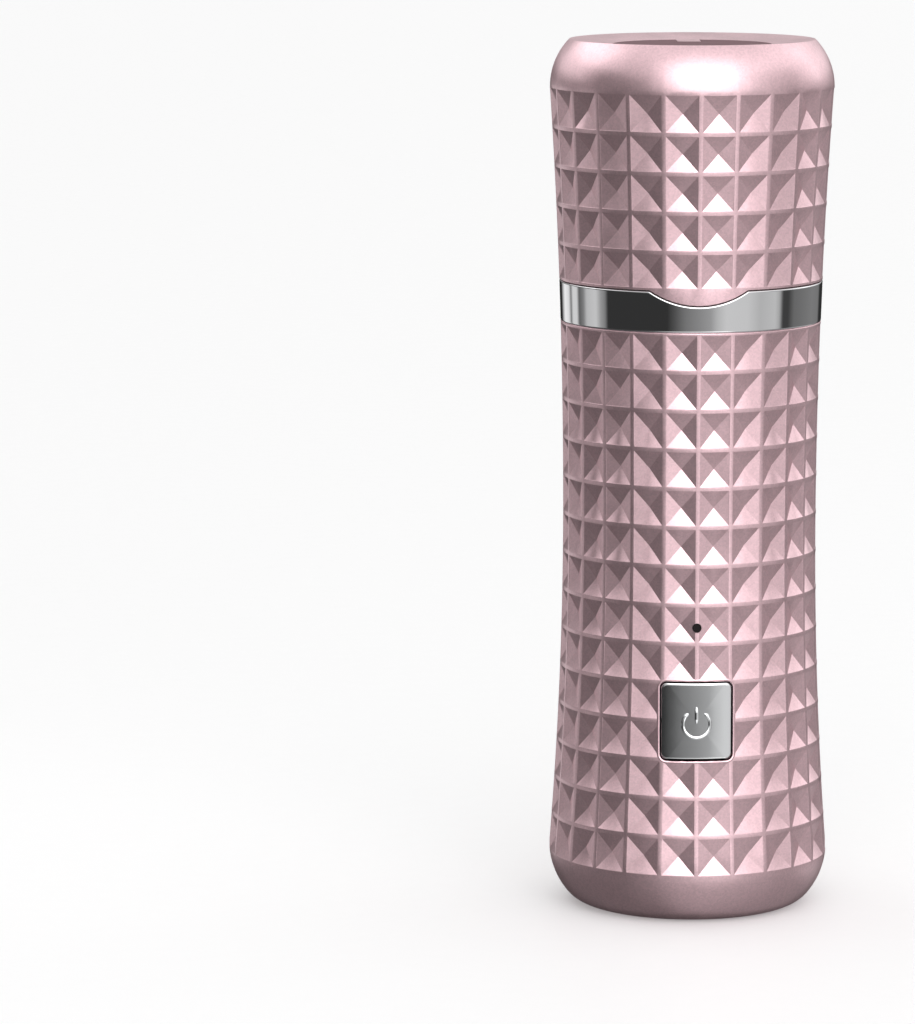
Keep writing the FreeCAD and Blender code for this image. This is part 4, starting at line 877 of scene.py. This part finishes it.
def tone_drift():
    """A colour that drifts a little lighter and darker over the surface."""
    def fill(group, start, end):
        place = add(group, "ShaderNodeTexCoord")
        cloud = add(group, "ShaderNodeTexNoise", in_Detail=4.0, in_Roughness=0.55)
        wire(group, (place, "Object", cloud, "Vector"), (start, "Scale", cloud, "Scale"))
        vary_colour(group, start, end, "Drift", cloud, "Fac")

    return effect(
        "tone_drift",
        [("Color", "NodeSocketColor", (0.5, 0.5, 0.5, 1)), ("Drift", "NodeSocketFloat", 0.05),
         ("Scale", "NodeSocketFloat", 300.0)],
        [("Color", "NodeSocketColor")], fill)


def paint_flakes():
    """Metal flakes in paint: small cells, each a little lighter or darker than the next."""
    def fill(group, start, end):
        place = add(group, "ShaderNodeTexCoord")
        cells = add(group, "ShaderNodeTexVoronoi")
        apart = add(group, "ShaderNodeSeparateColor")
        wire(group, (place, "Object", cells, "Vector"), (start, "Scale", cells, "Scale"),
             (cells, "Color", apart, "Color"))
        vary_colour(group, start, end, "Sparkle", apart, "Red")

    return effect(
        "paint_flakes",
        [("Color", "NodeSocketColor", (0.5, 0.5, 0.5, 1)), ("Sparkle", "NodeSocketFloat", 0.15),
         ("Scale", "NodeSocketFloat", 9000.0)],
        [("Color", "NodeSocketColor")], fill)


def place_effect(tree, group, **values):
    """One use of an effect, with its own values."""
    node = tree.nodes.new("ShaderNodeGroup")
    node.node_tree = group
    for key, value in values.items():
        node.inputs[key].default_value = value
    return node


def finish(name, base, metallic=0.0, roughness=0.5, drift=0.06, drift_scale=300.0, bump=0.05,
           grain=4000.0, stretch=(1, 1, 1), spread=0.08, **sockets):
    """A finish with drifting tone, uneven gloss and a fine grain."""
    name = f"{name}_finish"
    if name in bpy.data.materials:
        return bpy.data.materials[name]
    grain_depth = 0.04 * MM
    material = bpy.data.materials.new(name)
    material.use_nodes = True
    material.diffuse_color = (*base, 1)
    tree = material.node_tree
    shader = tree.nodes["Principled BSDF"]
    tone = place_effect(tree, tone_drift(), Color=(*base, 1), Drift=drift, Scale=drift_scale)
    grains = place_effect(tree, fine_grain(), Scale=grain, Stretch=stretch)
    gloss = add(tree, "ShaderNodeMapRange", in_From_Min=0.3, in_From_Max=0.7,
                in_To_Min=max(roughness * (1 - spread), 0.0),
                in_To_Max=min(roughness * (1 + spread), 1.0))
    relief = add(tree, "ShaderNodeBump", in_Strength=bump, in_Distance=grain_depth)
    wire(tree, (tone, "Color", shader, "Base Color"), (grains, "Mask", gloss, "Value"),
         (gloss, "Result", shader, "Roughness"), (grains, "Height", relief, "Height"),
         (relief, "Normal", shader, "Normal"))
    shader.inputs["Metallic"].default_value = metallic
    for key, value in sockets.items():
        shader.inputs[key.replace("_", " ")].default_value = value
    return material


def rose_paint():
    """Satin metallic paint with fine flakes under a thin clear coat."""
    if "rose_paint_finish" in bpy.data.materials:
        return bpy.data.materials["rose_paint_finish"]
    material = finish("rose_paint", tuple(settings("finish").rose), 0.90, 0.35, drift=0.05,
                      drift_scale=900.0, bump=0.04, grain=2400.0, spread=0.1, Coat_Weight=0.1,
                      Coat_Roughness=0.25)
    tree = material.node_tree
    shader = tree.nodes["Principled BSDF"]
    tone = shader.inputs["Base Color"].links[0].from_node
    flakes = place_effect(tree, paint_flakes(), Sparkle=0.13, Scale=4200.0)
    wire(tree, (tone, "Color", flakes, "Color"), (flakes, "Color", shader, "Base Color"))
    return material


def button_metal():
    """Polished metal of the button."""
    return finish("button_metal", tuple(settings("finish").button), 1.0, 0.07, drift=0.03,
                  bump=0.01, spread=0.25)


def foil_steel():
    """Satin steel of the foil, brushed around its axis."""
    return finish("foil_steel", tuple(settings("finish").foil), 1.0, 0.24, drift=0.05, bump=0.12,
                  grain=2600.0, stretch=(0.5, 0.5, 5.0), spread=0.2)


def plain_finishes():
    """The finishes of the CAD pieces that keep their shape, by material slot.

    Each row is colour, metallic, roughness and what differs from a usual finish."""
    colours = settings("finish")
    steel = (0.60, 0.60, 0.62)
    chrome = (tuple(colours.chrome), 1.0, 0.045,
              dict(drift=0.015, bump=0.01, grain=900.0, spread=0.3))
    rows = {
        "rose_plastic": ((0.50, 0.33, 0.35), 0.3, 0.42, dict(bump=0.15)),
        # disc_plastic is dark and has almost no sheen: painted shade for the dish in the cap's top.
        "disc_plastic": (tuple(colours.disc), 0.0, 0.55,
                         dict(bump=0.1, drift_scale=500.0, Specular_IOR_Level=0.06)),
        "chrome_plate": chrome,
        "neck_plating": chrome,
        "grey_silicone": (tuple(colours.silicone), 0.0, 0.46,
                          dict(drift=0.04, bump=0.2, Specular_IOR_Level=0.4)),
        "black_rubber": ((0.03, 0.03, 0.03), 0.0, 0.6, dict(bump=0.3)),
        "screw_steel": (steel, 1.0, 0.3, dict(bump=0.1)),
        "frame_plastic": ((0.09, 0.09, 0.10), 0.0, 0.55, dict(bump=0.35)),
        "black_plastic": ((0.03, 0.03, 0.035), 0.0, 0.5, dict(bump=0.3)),
        "white_plastic": ((0.78, 0.78, 0.76), 0.0, 0.45, dict(bump=0.2)),
        "head_plastic": ((0.70, 0.70, 0.70), 0.0, 0.45, dict(bump=0.2)),
        "liner_plastic": ((0.50, 0.48, 0.47), 0.0, 0.3, dict(bump=0.1)),
        "cell_wrap": ((0.08, 0.28, 0.17), 0.0, 0.3, dict(bump=0.08)),
        "nickel_strip": ((0.64, 0.61, 0.56), 1.0, 0.32, dict(stretch=(8, 1, 1))),
        "copper": ((0.80, 0.44, 0.30), 1.0, 0.28, dict(drift=0.12)),
        "board_green": ((0.02, 0.16, 0.07), 0.0, 0.35, dict(drift=0.1, bump=0.12)),
        "socket_steel": (steel, 1.0, 0.25, dict(bump=0.08)),
        # clear_plastic is painted nearly black: painted shade for the lamp hole, in place of the
        # light pipe's clear colour.
        "clear_plastic": ((0.012, 0.010, 0.010), 0.0, 0.12,
                          dict(bump=0.01, spread=0.1, Specular_IOR_Level=0.3)),
        "zinc_steel": ((0.52, 0.54, 0.56), 1.0, 0.35, dict(drift=0.12, bump=0.12)),
        "ferrite": ((0.05, 0.05, 0.055), 0.0, 0.6, dict(drift=0.15, bump=0.4)),
        "brass_bush": ((0.62, 0.46, 0.22), 1.0, 0.4, dict(drift=0.12, bump=0.3)),
        "red_wire": ((0.45, 0.02, 0.02), 0.0, 0.4, dict(bump=0.1)),
        "shaft_steel": (steel, 1.0, 0.16, dict(stretch=(1, 1, 6))),
        "core_steel": ((0.28, 0.28, 0.30), 1.0, 0.45,
                       dict(grain=2500.0, stretch=(0.3, 0.3, 8.0), bump=0.5)),
        "spring_steel": ((0.52, 0.52, 0.54), 1.0, 0.25, {}),
        "blade_steel": ((0.66, 0.66, 0.67), 1.0, 0.2,
                        dict(grain=2600.0, stretch=(6, 1, 1), bump=0.15)),
    }
    return {slot: finish(slot, *row[:3], **row[3]) for slot, row in rows.items()}


def dress(nodes, edge=0.0):
    """Give CAD pieces the finish of their slot and, where asked, a small rounded edge."""
    finishes = plain_finishes()
    slots = {row["node"]: row["material_slot"] for row in frame["record"]["subparts"]}
    for name in nodes:
        obj = frame["nodes"][name]
        material = finishes[slots[name]]
        if not obj.data.materials:
            obj.data.materials.append(material)
        for k in range(len(obj.material_slots)):
            obj.material_slots[k].material = material
        if edge:
            weld = obj.modifiers.new("weld", "WELD")
            weld.merge_threshold = 0.002 * MM
            bevel = obj.modifiers.new("edge", "BEVEL")
            bevel.width = edge
            bevel.segments = 2
            bevel.limit_method = "ANGLE"
            bevel.angle_limit = math.radians(40)
            obj.modifiers.new("shade", "WEIGHTED_NORMAL").keep_sharp = False


# ---------------------------------------------------------------- stage

def softbox(name, turn, rise, distance, width, tall, power, target):
    """A rectangular soft light, turned around the handle from the front and raised."""
    lamp = bpy.data.lights.new(name, "AREA")
    lamp.shape = "RECTANGLE"
    lamp.size, lamp.size_y = width, tall
    lamp.energy = power
    obj = bpy.data.objects.new(name, lamp)
    bpy.context.scene.collection.objects.link(obj)
    a, e = math.radians(turn), math.radians(rise)
    out = Vector((math.sin(a) * math.cos(e), -math.cos(a) * math.cos(e), math.sin(e)))
    obj.location = Vector(target) + out * distance
    obj.rotation_euler = (-out).to_track_quat("-Z", "Y").to_euler()


def studio_floor():
    """A wide pale floor, clear when it is looked at from below."""
    bm = bmesh.new()
    bmesh.ops.create_grid(bm, x_segments=8, y_segments=8, size=4.0)
    floor = mesh_object("studio_floor", bm)
    floor.location.z = -0.02 * MM
    paper = finish("floor_paper", (0.67, 0.67, 0.67), 0.0, 0.55, drift=0.005, bump=0.0,
                   Emission_Color=(1, 1, 1, 1), Emission_Strength=0.24)
    tree = paper.node_tree
    side = add(tree, "ShaderNodeNewGeometry")
    clear = add(tree, "ShaderNodeBsdfTransparent")
    pick = add(tree, "ShaderNodeMixShader")
    wire(tree, (side, "Backfacing", pick, 0), (tree.nodes["Principled BSDF"], 0, pick, 1),
         (clear, 0, pick, 2), (pick, 0, tree.nodes["Material Output"], "Surface"))
    floor.data.materials.append(paper)
    floor.visible_glossy = False


# Brightness of the surroundings, as (degrees from the front toward the right, brightness).
# LEVEL lies just below the horizon, where upright mirrors look.  MIDDLE lies on either side of
# it, LOWERED under both, and RAISED and UPPER over them.
LEVEL = (
    (-180, 0.03), (-162, 0.03), (-156, 0.60), (-150, 1.20), (-140, 1.0), (-135, 0.25),
    (-131, 0.90), (-124, 0.90), (-120, 0.15), (-113, 0.30), (-108, 0.70), (-96, 0.80),
    (-90, 0.45), (-85, 0.30), (-82, 0.045), (-24, 0.045), (-17, 0.12), (-8, 0.25), (4, 0.35),
    (14, 0.45), (20, 0.66), (28, 0.82), (48, 0.80), (60, 0.64), (76, 0.72), (81, 0.55),
    (85, 0.07), (92, 0.07), (100, 0.20), (130, 0.28), (146, 0.25), (152, 0.04), (180, 0.03),
)
MIDDLE = (
    (-180, 0.02), (-152, 0.05), (-138, 0.14), (-105, 0.08), (-80, 0.07), (-50, 0.09),
    (-37, 0.18), (-25, 0.6), (-12, 1.0), (5, 1.4), (17, 2.1), (29, 2.0), (38, 0.85), (55, 0.66),
    (78, 0.36), (90, 0.36), (112, 0.70), (135, 0.65), (150, 0.30), (160, 0.05), (180, 0.02),
)
RAISED = (
    (-180, 0.40), (-160, 0.40), (-131, 0.45), (-112, 0.25), (-96, 0.08), (-60, 0.08),
    (-40, 0.35), (-24, 1.2), (-14, 3.0), (0, 3.5), (22, 3.4), (34, 2.1), (50, 1.20), (70, 0.60),
    (90, 0.65), (104, 1.4), (138, 1.5), (158, 0.8), (180, 0.40),
)
UPPER = (
    (-180, 1.50), (-115, 1.40), (-86, 1.2), (-62, 0.80), (-42, 0.80), (-26, 1.8), (-14, 3.3),
    (28, 3.3), (45, 1.60), (80, 1.5), (110, 1.60), (180, 1.50),
)
LOWERED = (
    (-180, 0.03), (-150, 0.06), (-138, 0.14), (-100, 0.08), (-45, 0.13), (-14, 0.46), (26, 0.50),
    (60, 0.42), (100, 0.28), (138, 0.28), (152, 0.10), (180, 0.03),
)
BRIGHTEST = 4.0
OVERHEAD = 1.15


def brightness_band(tree, around, table):
    """Brightness around the object, from a table of (degrees from the front, brightness)."""
    band = add(tree, "ShaderNodeFloatCurve")
    points = band.mapping.curves[0].points
    for k, (degrees, value) in enumerate(table):
        place = (0.5 + degrees / 360, value / BRIGHTEST)
        if k == 0:
            point = points[0]
        elif k == len(table) - 1:
            point = points[-1]
        else:
            point = points.new(*place)
        point.location = place
    for point in points:
        point.handle_type = "VECTOR"
    band.mapping.update()
    scaled = add(tree, "ShaderNodeMath", operation="MULTIPLY", in_1=BRIGHTEST)
    wire(tree, (around, 0, band, "Value"), (band, 0, scaled, 0))
    return scaled.outputs[0]


def blend_by_height(tree, height, low_value, high_value, start, end):
    """Go from one brightness to another as the direction rises from start to end."""
    ramp = add(tree, "ShaderNodeMapRange", interpolation_type="SMOOTHSTEP", in_From_Min=start,
               in_From_Max=end)
    tree.links.new(height, ramp.inputs["Value"])
    mix = add(tree, "ShaderNodeMix", data_type="FLOAT")
    wire(tree, (ramp, "Result", mix, "Factor"))
    for socket, value in (("A", low_value), ("B", high_value)):
        if isinstance(value, float):
            mix.inputs[socket].default_value = value
        else:
            tree.links.new(value, mix.inputs[socket])
    return mix.outputs["Result"]


def studio_world():
    """Surroundings of the stage: pale to the eye, with dark and light bands to reflect."""
    world = bpy.data.worlds.new("studio")
    bpy.context.scene.world = world
    world.use_nodes = True
    tree = world.node_tree
    plain = tree.nodes["Background"]
    plain.inputs["Color"].default_value = (1, 1, 1, 1)
    plain.inputs["Strength"].default_value = 1.0
    place = add(tree, "ShaderNodeTexCoord")
    apart = add(tree, "ShaderNodeSeparateXYZ")
    front = add(tree, "ShaderNodeMath", operation="MULTIPLY", in_1=-1.0)
    turn = add(tree, "ShaderNodeMath", operation="ARCTAN2")
    around = add(tree, "ShaderNodeMath", operation="MULTIPLY_ADD", in_1=1 / TURN, in_2=0.5)
    wire(tree, (place, "Generated", apart, 0), (apart, "Y", front, 0), (apart, "X", turn, 0),
         (front, 0, turn, 1), (turn, 0, around, 0))
    level, middle, raised, upper, whole = (brightness_band(tree, around, table) for table
                                           in (LEVEL, MIDDLE, RAISED, UPPER, LOWERED))
    # from the lowest band up, between these heights of the direction (1 is straight up)
    for above, start, end in ((middle, -0.50, -0.36), (level, -0.27, -0.235),
                              (middle, -0.05, -0.02), (raised, 0.02, 0.14),
                              (upper, 0.36, 0.50), (OVERHEAD, 0.66, 0.90)):
        whole = blend_by_height(tree, apart.outputs["Z"], whole, above, start, end)
    mirror = add(tree, "ShaderNodeBackground")
    tree.links.new(whole, mirror.inputs["Strength"])
    path = add(tree, "ShaderNodeLightPath")
    pick = add(tree, "ShaderNodeMixShader")
    wire(tree, (path, "Is Camera Ray", pick, 0), (mirror, 0, pick, 1), (plain, 0, pick, 2),
         (pick, 0, tree.nodes["World Output"], "Surface"))


def studio_camera():
    """The camera, in front of the object and a little above it."""
    stage = settings("stage")
    lens = bpy.data.cameras.new("studio_camera")
    lens.lens, lens.sensor_width, lens.sensor_fit = stage.lens, 36, "AUTO"
    lens.clip_start, lens.clip_end = 0.01, 20
    camera = bpy.data.objects.new("studio_camera", lens)
    bpy.context.scene.collection.objects.link(camera)
    camera.location = (-stage.distance * math.sin(stage.around),
                       -stage.distance * math.cos(stage.around), stage.height)
    level = math.pi / 2 - stage.pitch
    look = Vector((math.sin(stage.heading) * math.sin(level),
                   math.cos(stage.heading) * math.sin(level), -math.cos(level)))
    camera.rotation_mode = "QUATERNION"
    camera.rotation_quaternion = look.to_track_quat("-Z", "Y")
    bpy.context.scene.camera = camera


def build_stage():
    """Floor, surroundings, soft lights and camera."""
    bpy.context.scene.view_settings.view_transform = "Standard"
    studio_floor()
    studio_world()
    middle = (0, 0, (CAD_BOX[0].z + CAD_BOX[1].z) / 2)
    crown = (0, 0, CAD_BOX[1].z - 3 * MM)
    # name, turn and rise in degrees, distance, width, height, power in watts, what it lights
    for lamp in (("key_front", 5, 26, 0.75, 0.40, 0.30, 0.25, middle),
                 ("rim_right", 118, 25, 0.6, 0.14, 0.35, 0.06, middle),
                 ("crown_left", -118, 30, 0.14, 0.13, 0.12, 0.035, crown)):
        softbox(*lamp)
    studio_camera()


# ---------------------------------------------------------------- operators and panel

CHROMED = ("neck_sleeve", "head_cover")
FOOT = ("base_cover", "base_screw", "charging_socket_shell", "charging_socket_tongue")
CUTTING = ("cutter_blade", "cutter_hub", "cutter_retainer", "head_insert", "foil_carrier")
SEALS = ("neck_seal", "shaft_seal", "button_gasket")
DRIVE = ("motor_can", "motor_end_cap", "motor_terminals", "motor_brushes", "motor_magnets",
         "motor_screws", "motor_bushes", "motor_lead_red", "motor_lead_black", "motor_shaft",
         "armature", "commutator", "drive_spindle")
ELECTRIC = ("battery_cell", "battery_tabs", "circuit_board", "board_components", "board_screws",
            "switch_body", "switch_plunger", "indicator_led", "light_pipe")


class REMOVER_OT_stage(bpy.types.Operator):
    """Set up the floor, surroundings, lights and camera"""
    bl_idname = "remover.stage"
    bl_label = "Stage"

    def execute(self, context):
        build_stage()
        return {"FINISHED"}


class REMOVER_OT_handle(bpy.types.Operator):
    """Build the diamond-cut handle housing"""
    bl_idname = "remover.handle"
    bl_label = "Handle housing"

    def execute(self, context):
        build_handle()
        return {"FINISHED"}


class REMOVER_OT_cap(bpy.types.Operator):
    """Build the diamond-cut cap and finish its liner and disc"""
    bl_idname = "remover.cap"
    bl_label = "Cap"

    def execute(self, context):
        build_cap()
        dress(("cap_liner", "cap_top_disc"), 0.08 * MM)
        return {"FINISHED"}


class REMOVER_OT_button(bpy.types.Operator):
    """Build the polished power button"""
    bl_idname = "remover.button"
    bl_label = "Power button"

    def execute(self, context):
        build_button()
        return {"FINISHED"}


class REMOVER_OT_foil(bpy.types.Operator):
    """Build the slotted foil"""
    bl_idname = "remover.foil"
    bl_label = "Foil"

    def execute(self, context):
        build_foil()
        return {"FINISHED"}


class REMOVER_OT_chrome(bpy.types.Operator):
    """Build the chromed ring and finish the chromed neck and head cover"""
    bl_idname = "remover.chrome"
    bl_label = "Chromed pieces"

    def execute(self, context):
        build_ring()
        dress(CHROMED, 0.18 * MM)
        return {"FINISHED"}


class REMOVER_OT_seals(bpy.types.Operator):
    """Finish the seals and the gasket"""
    bl_idname = "remover.seals"
    bl_label = "Seals"

    def execute(self, context):
        dress(SEALS)
        return {"FINISHED"}


class REMOVER_OT_foot(bpy.types.Operator):
    """Finish the base cover, its screw and the charging socket"""
    bl_idname = "remover.foot"
    bl_label = "Foot"

    def execute(self, context):
        dress(FOOT, 0.06 * MM)
        return {"FINISHED"}


class REMOVER_OT_cutting(bpy.types.Operator):
    """Finish the cutter and the plastic pieces that carry it"""
    bl_idname = "remover.cutting"
    bl_label = "Cutter and carrier"

    def execute(self, context):
        dress(CUTTING, 0.05 * MM)
        return {"FINISHED"}


class REMOVER_OT_inside(bpy.types.Operator):
    """Build the drive spring and finish the chassis, motor, drive and electric pieces"""
    bl_idname = "remover.inside"
    bl_label = "Inner pieces"

    def execute(self, context):
        build_spring()
        dress(("chassis", *DRIVE, *ELECTRIC))
        return {"FINISHED"}


OPERATORS = (REMOVER_OT_stage, REMOVER_OT_handle, REMOVER_OT_cap, REMOVER_OT_button,
             REMOVER_OT_foil, REMOVER_OT_chrome, REMOVER_OT_seals, REMOVER_OT_foot,
             REMOVER_OT_cutting, REMOVER_OT_inside)


class REMOVER_PT_pieces(bpy.types.Panel):
    """Lists the settings and the pieces of the hair remover"""
    bl_idname = "REMOVER_PT_pieces"
    bl_label = "Rotary Hair Remover"
    bl_space_type = "VIEW_3D"
    bl_region_type = "UI"
    bl_category = "Remover"

    def draw(self, context):
        """List the settings, then one button for each operator."""
        for name, group in GROUPS.items():
            box = self.layout.box()
            box.label(text=group.__doc__.rstrip("."))
            for prop in group.__annotations__:
                box.prop(getattr(context.scene, name), prop)
        for operator in OPERATORS:
            self.layout.operator(operator.bl_idname)


def register():
    """Register the classes and hang the settings on the scene."""
    for cls in (*GROUPS.values(), *OPERATORS, REMOVER_PT_pieces):
        bpy.utils.register_class(cls)
    for name, group in GROUPS.items():
        setattr(bpy.types.Scene, name, PointerProperty(type=group))


def unregister():
    """Take the settings and the classes away again."""
    for name in GROUPS:
        delattr(bpy.types.Scene, name)
    for cls in reversed((*GROUPS.values(), *OPERATORS, REMOVER_PT_pieces)):
        bpy.utils.unregister_class(cls)


def main():
    """Build everything in order."""
    register()
    for operator in OPERATORS:
        getattr(bpy.ops.remover, operator.bl_idname.split(".")[1])()


if __name__ == "__main__":
    main()
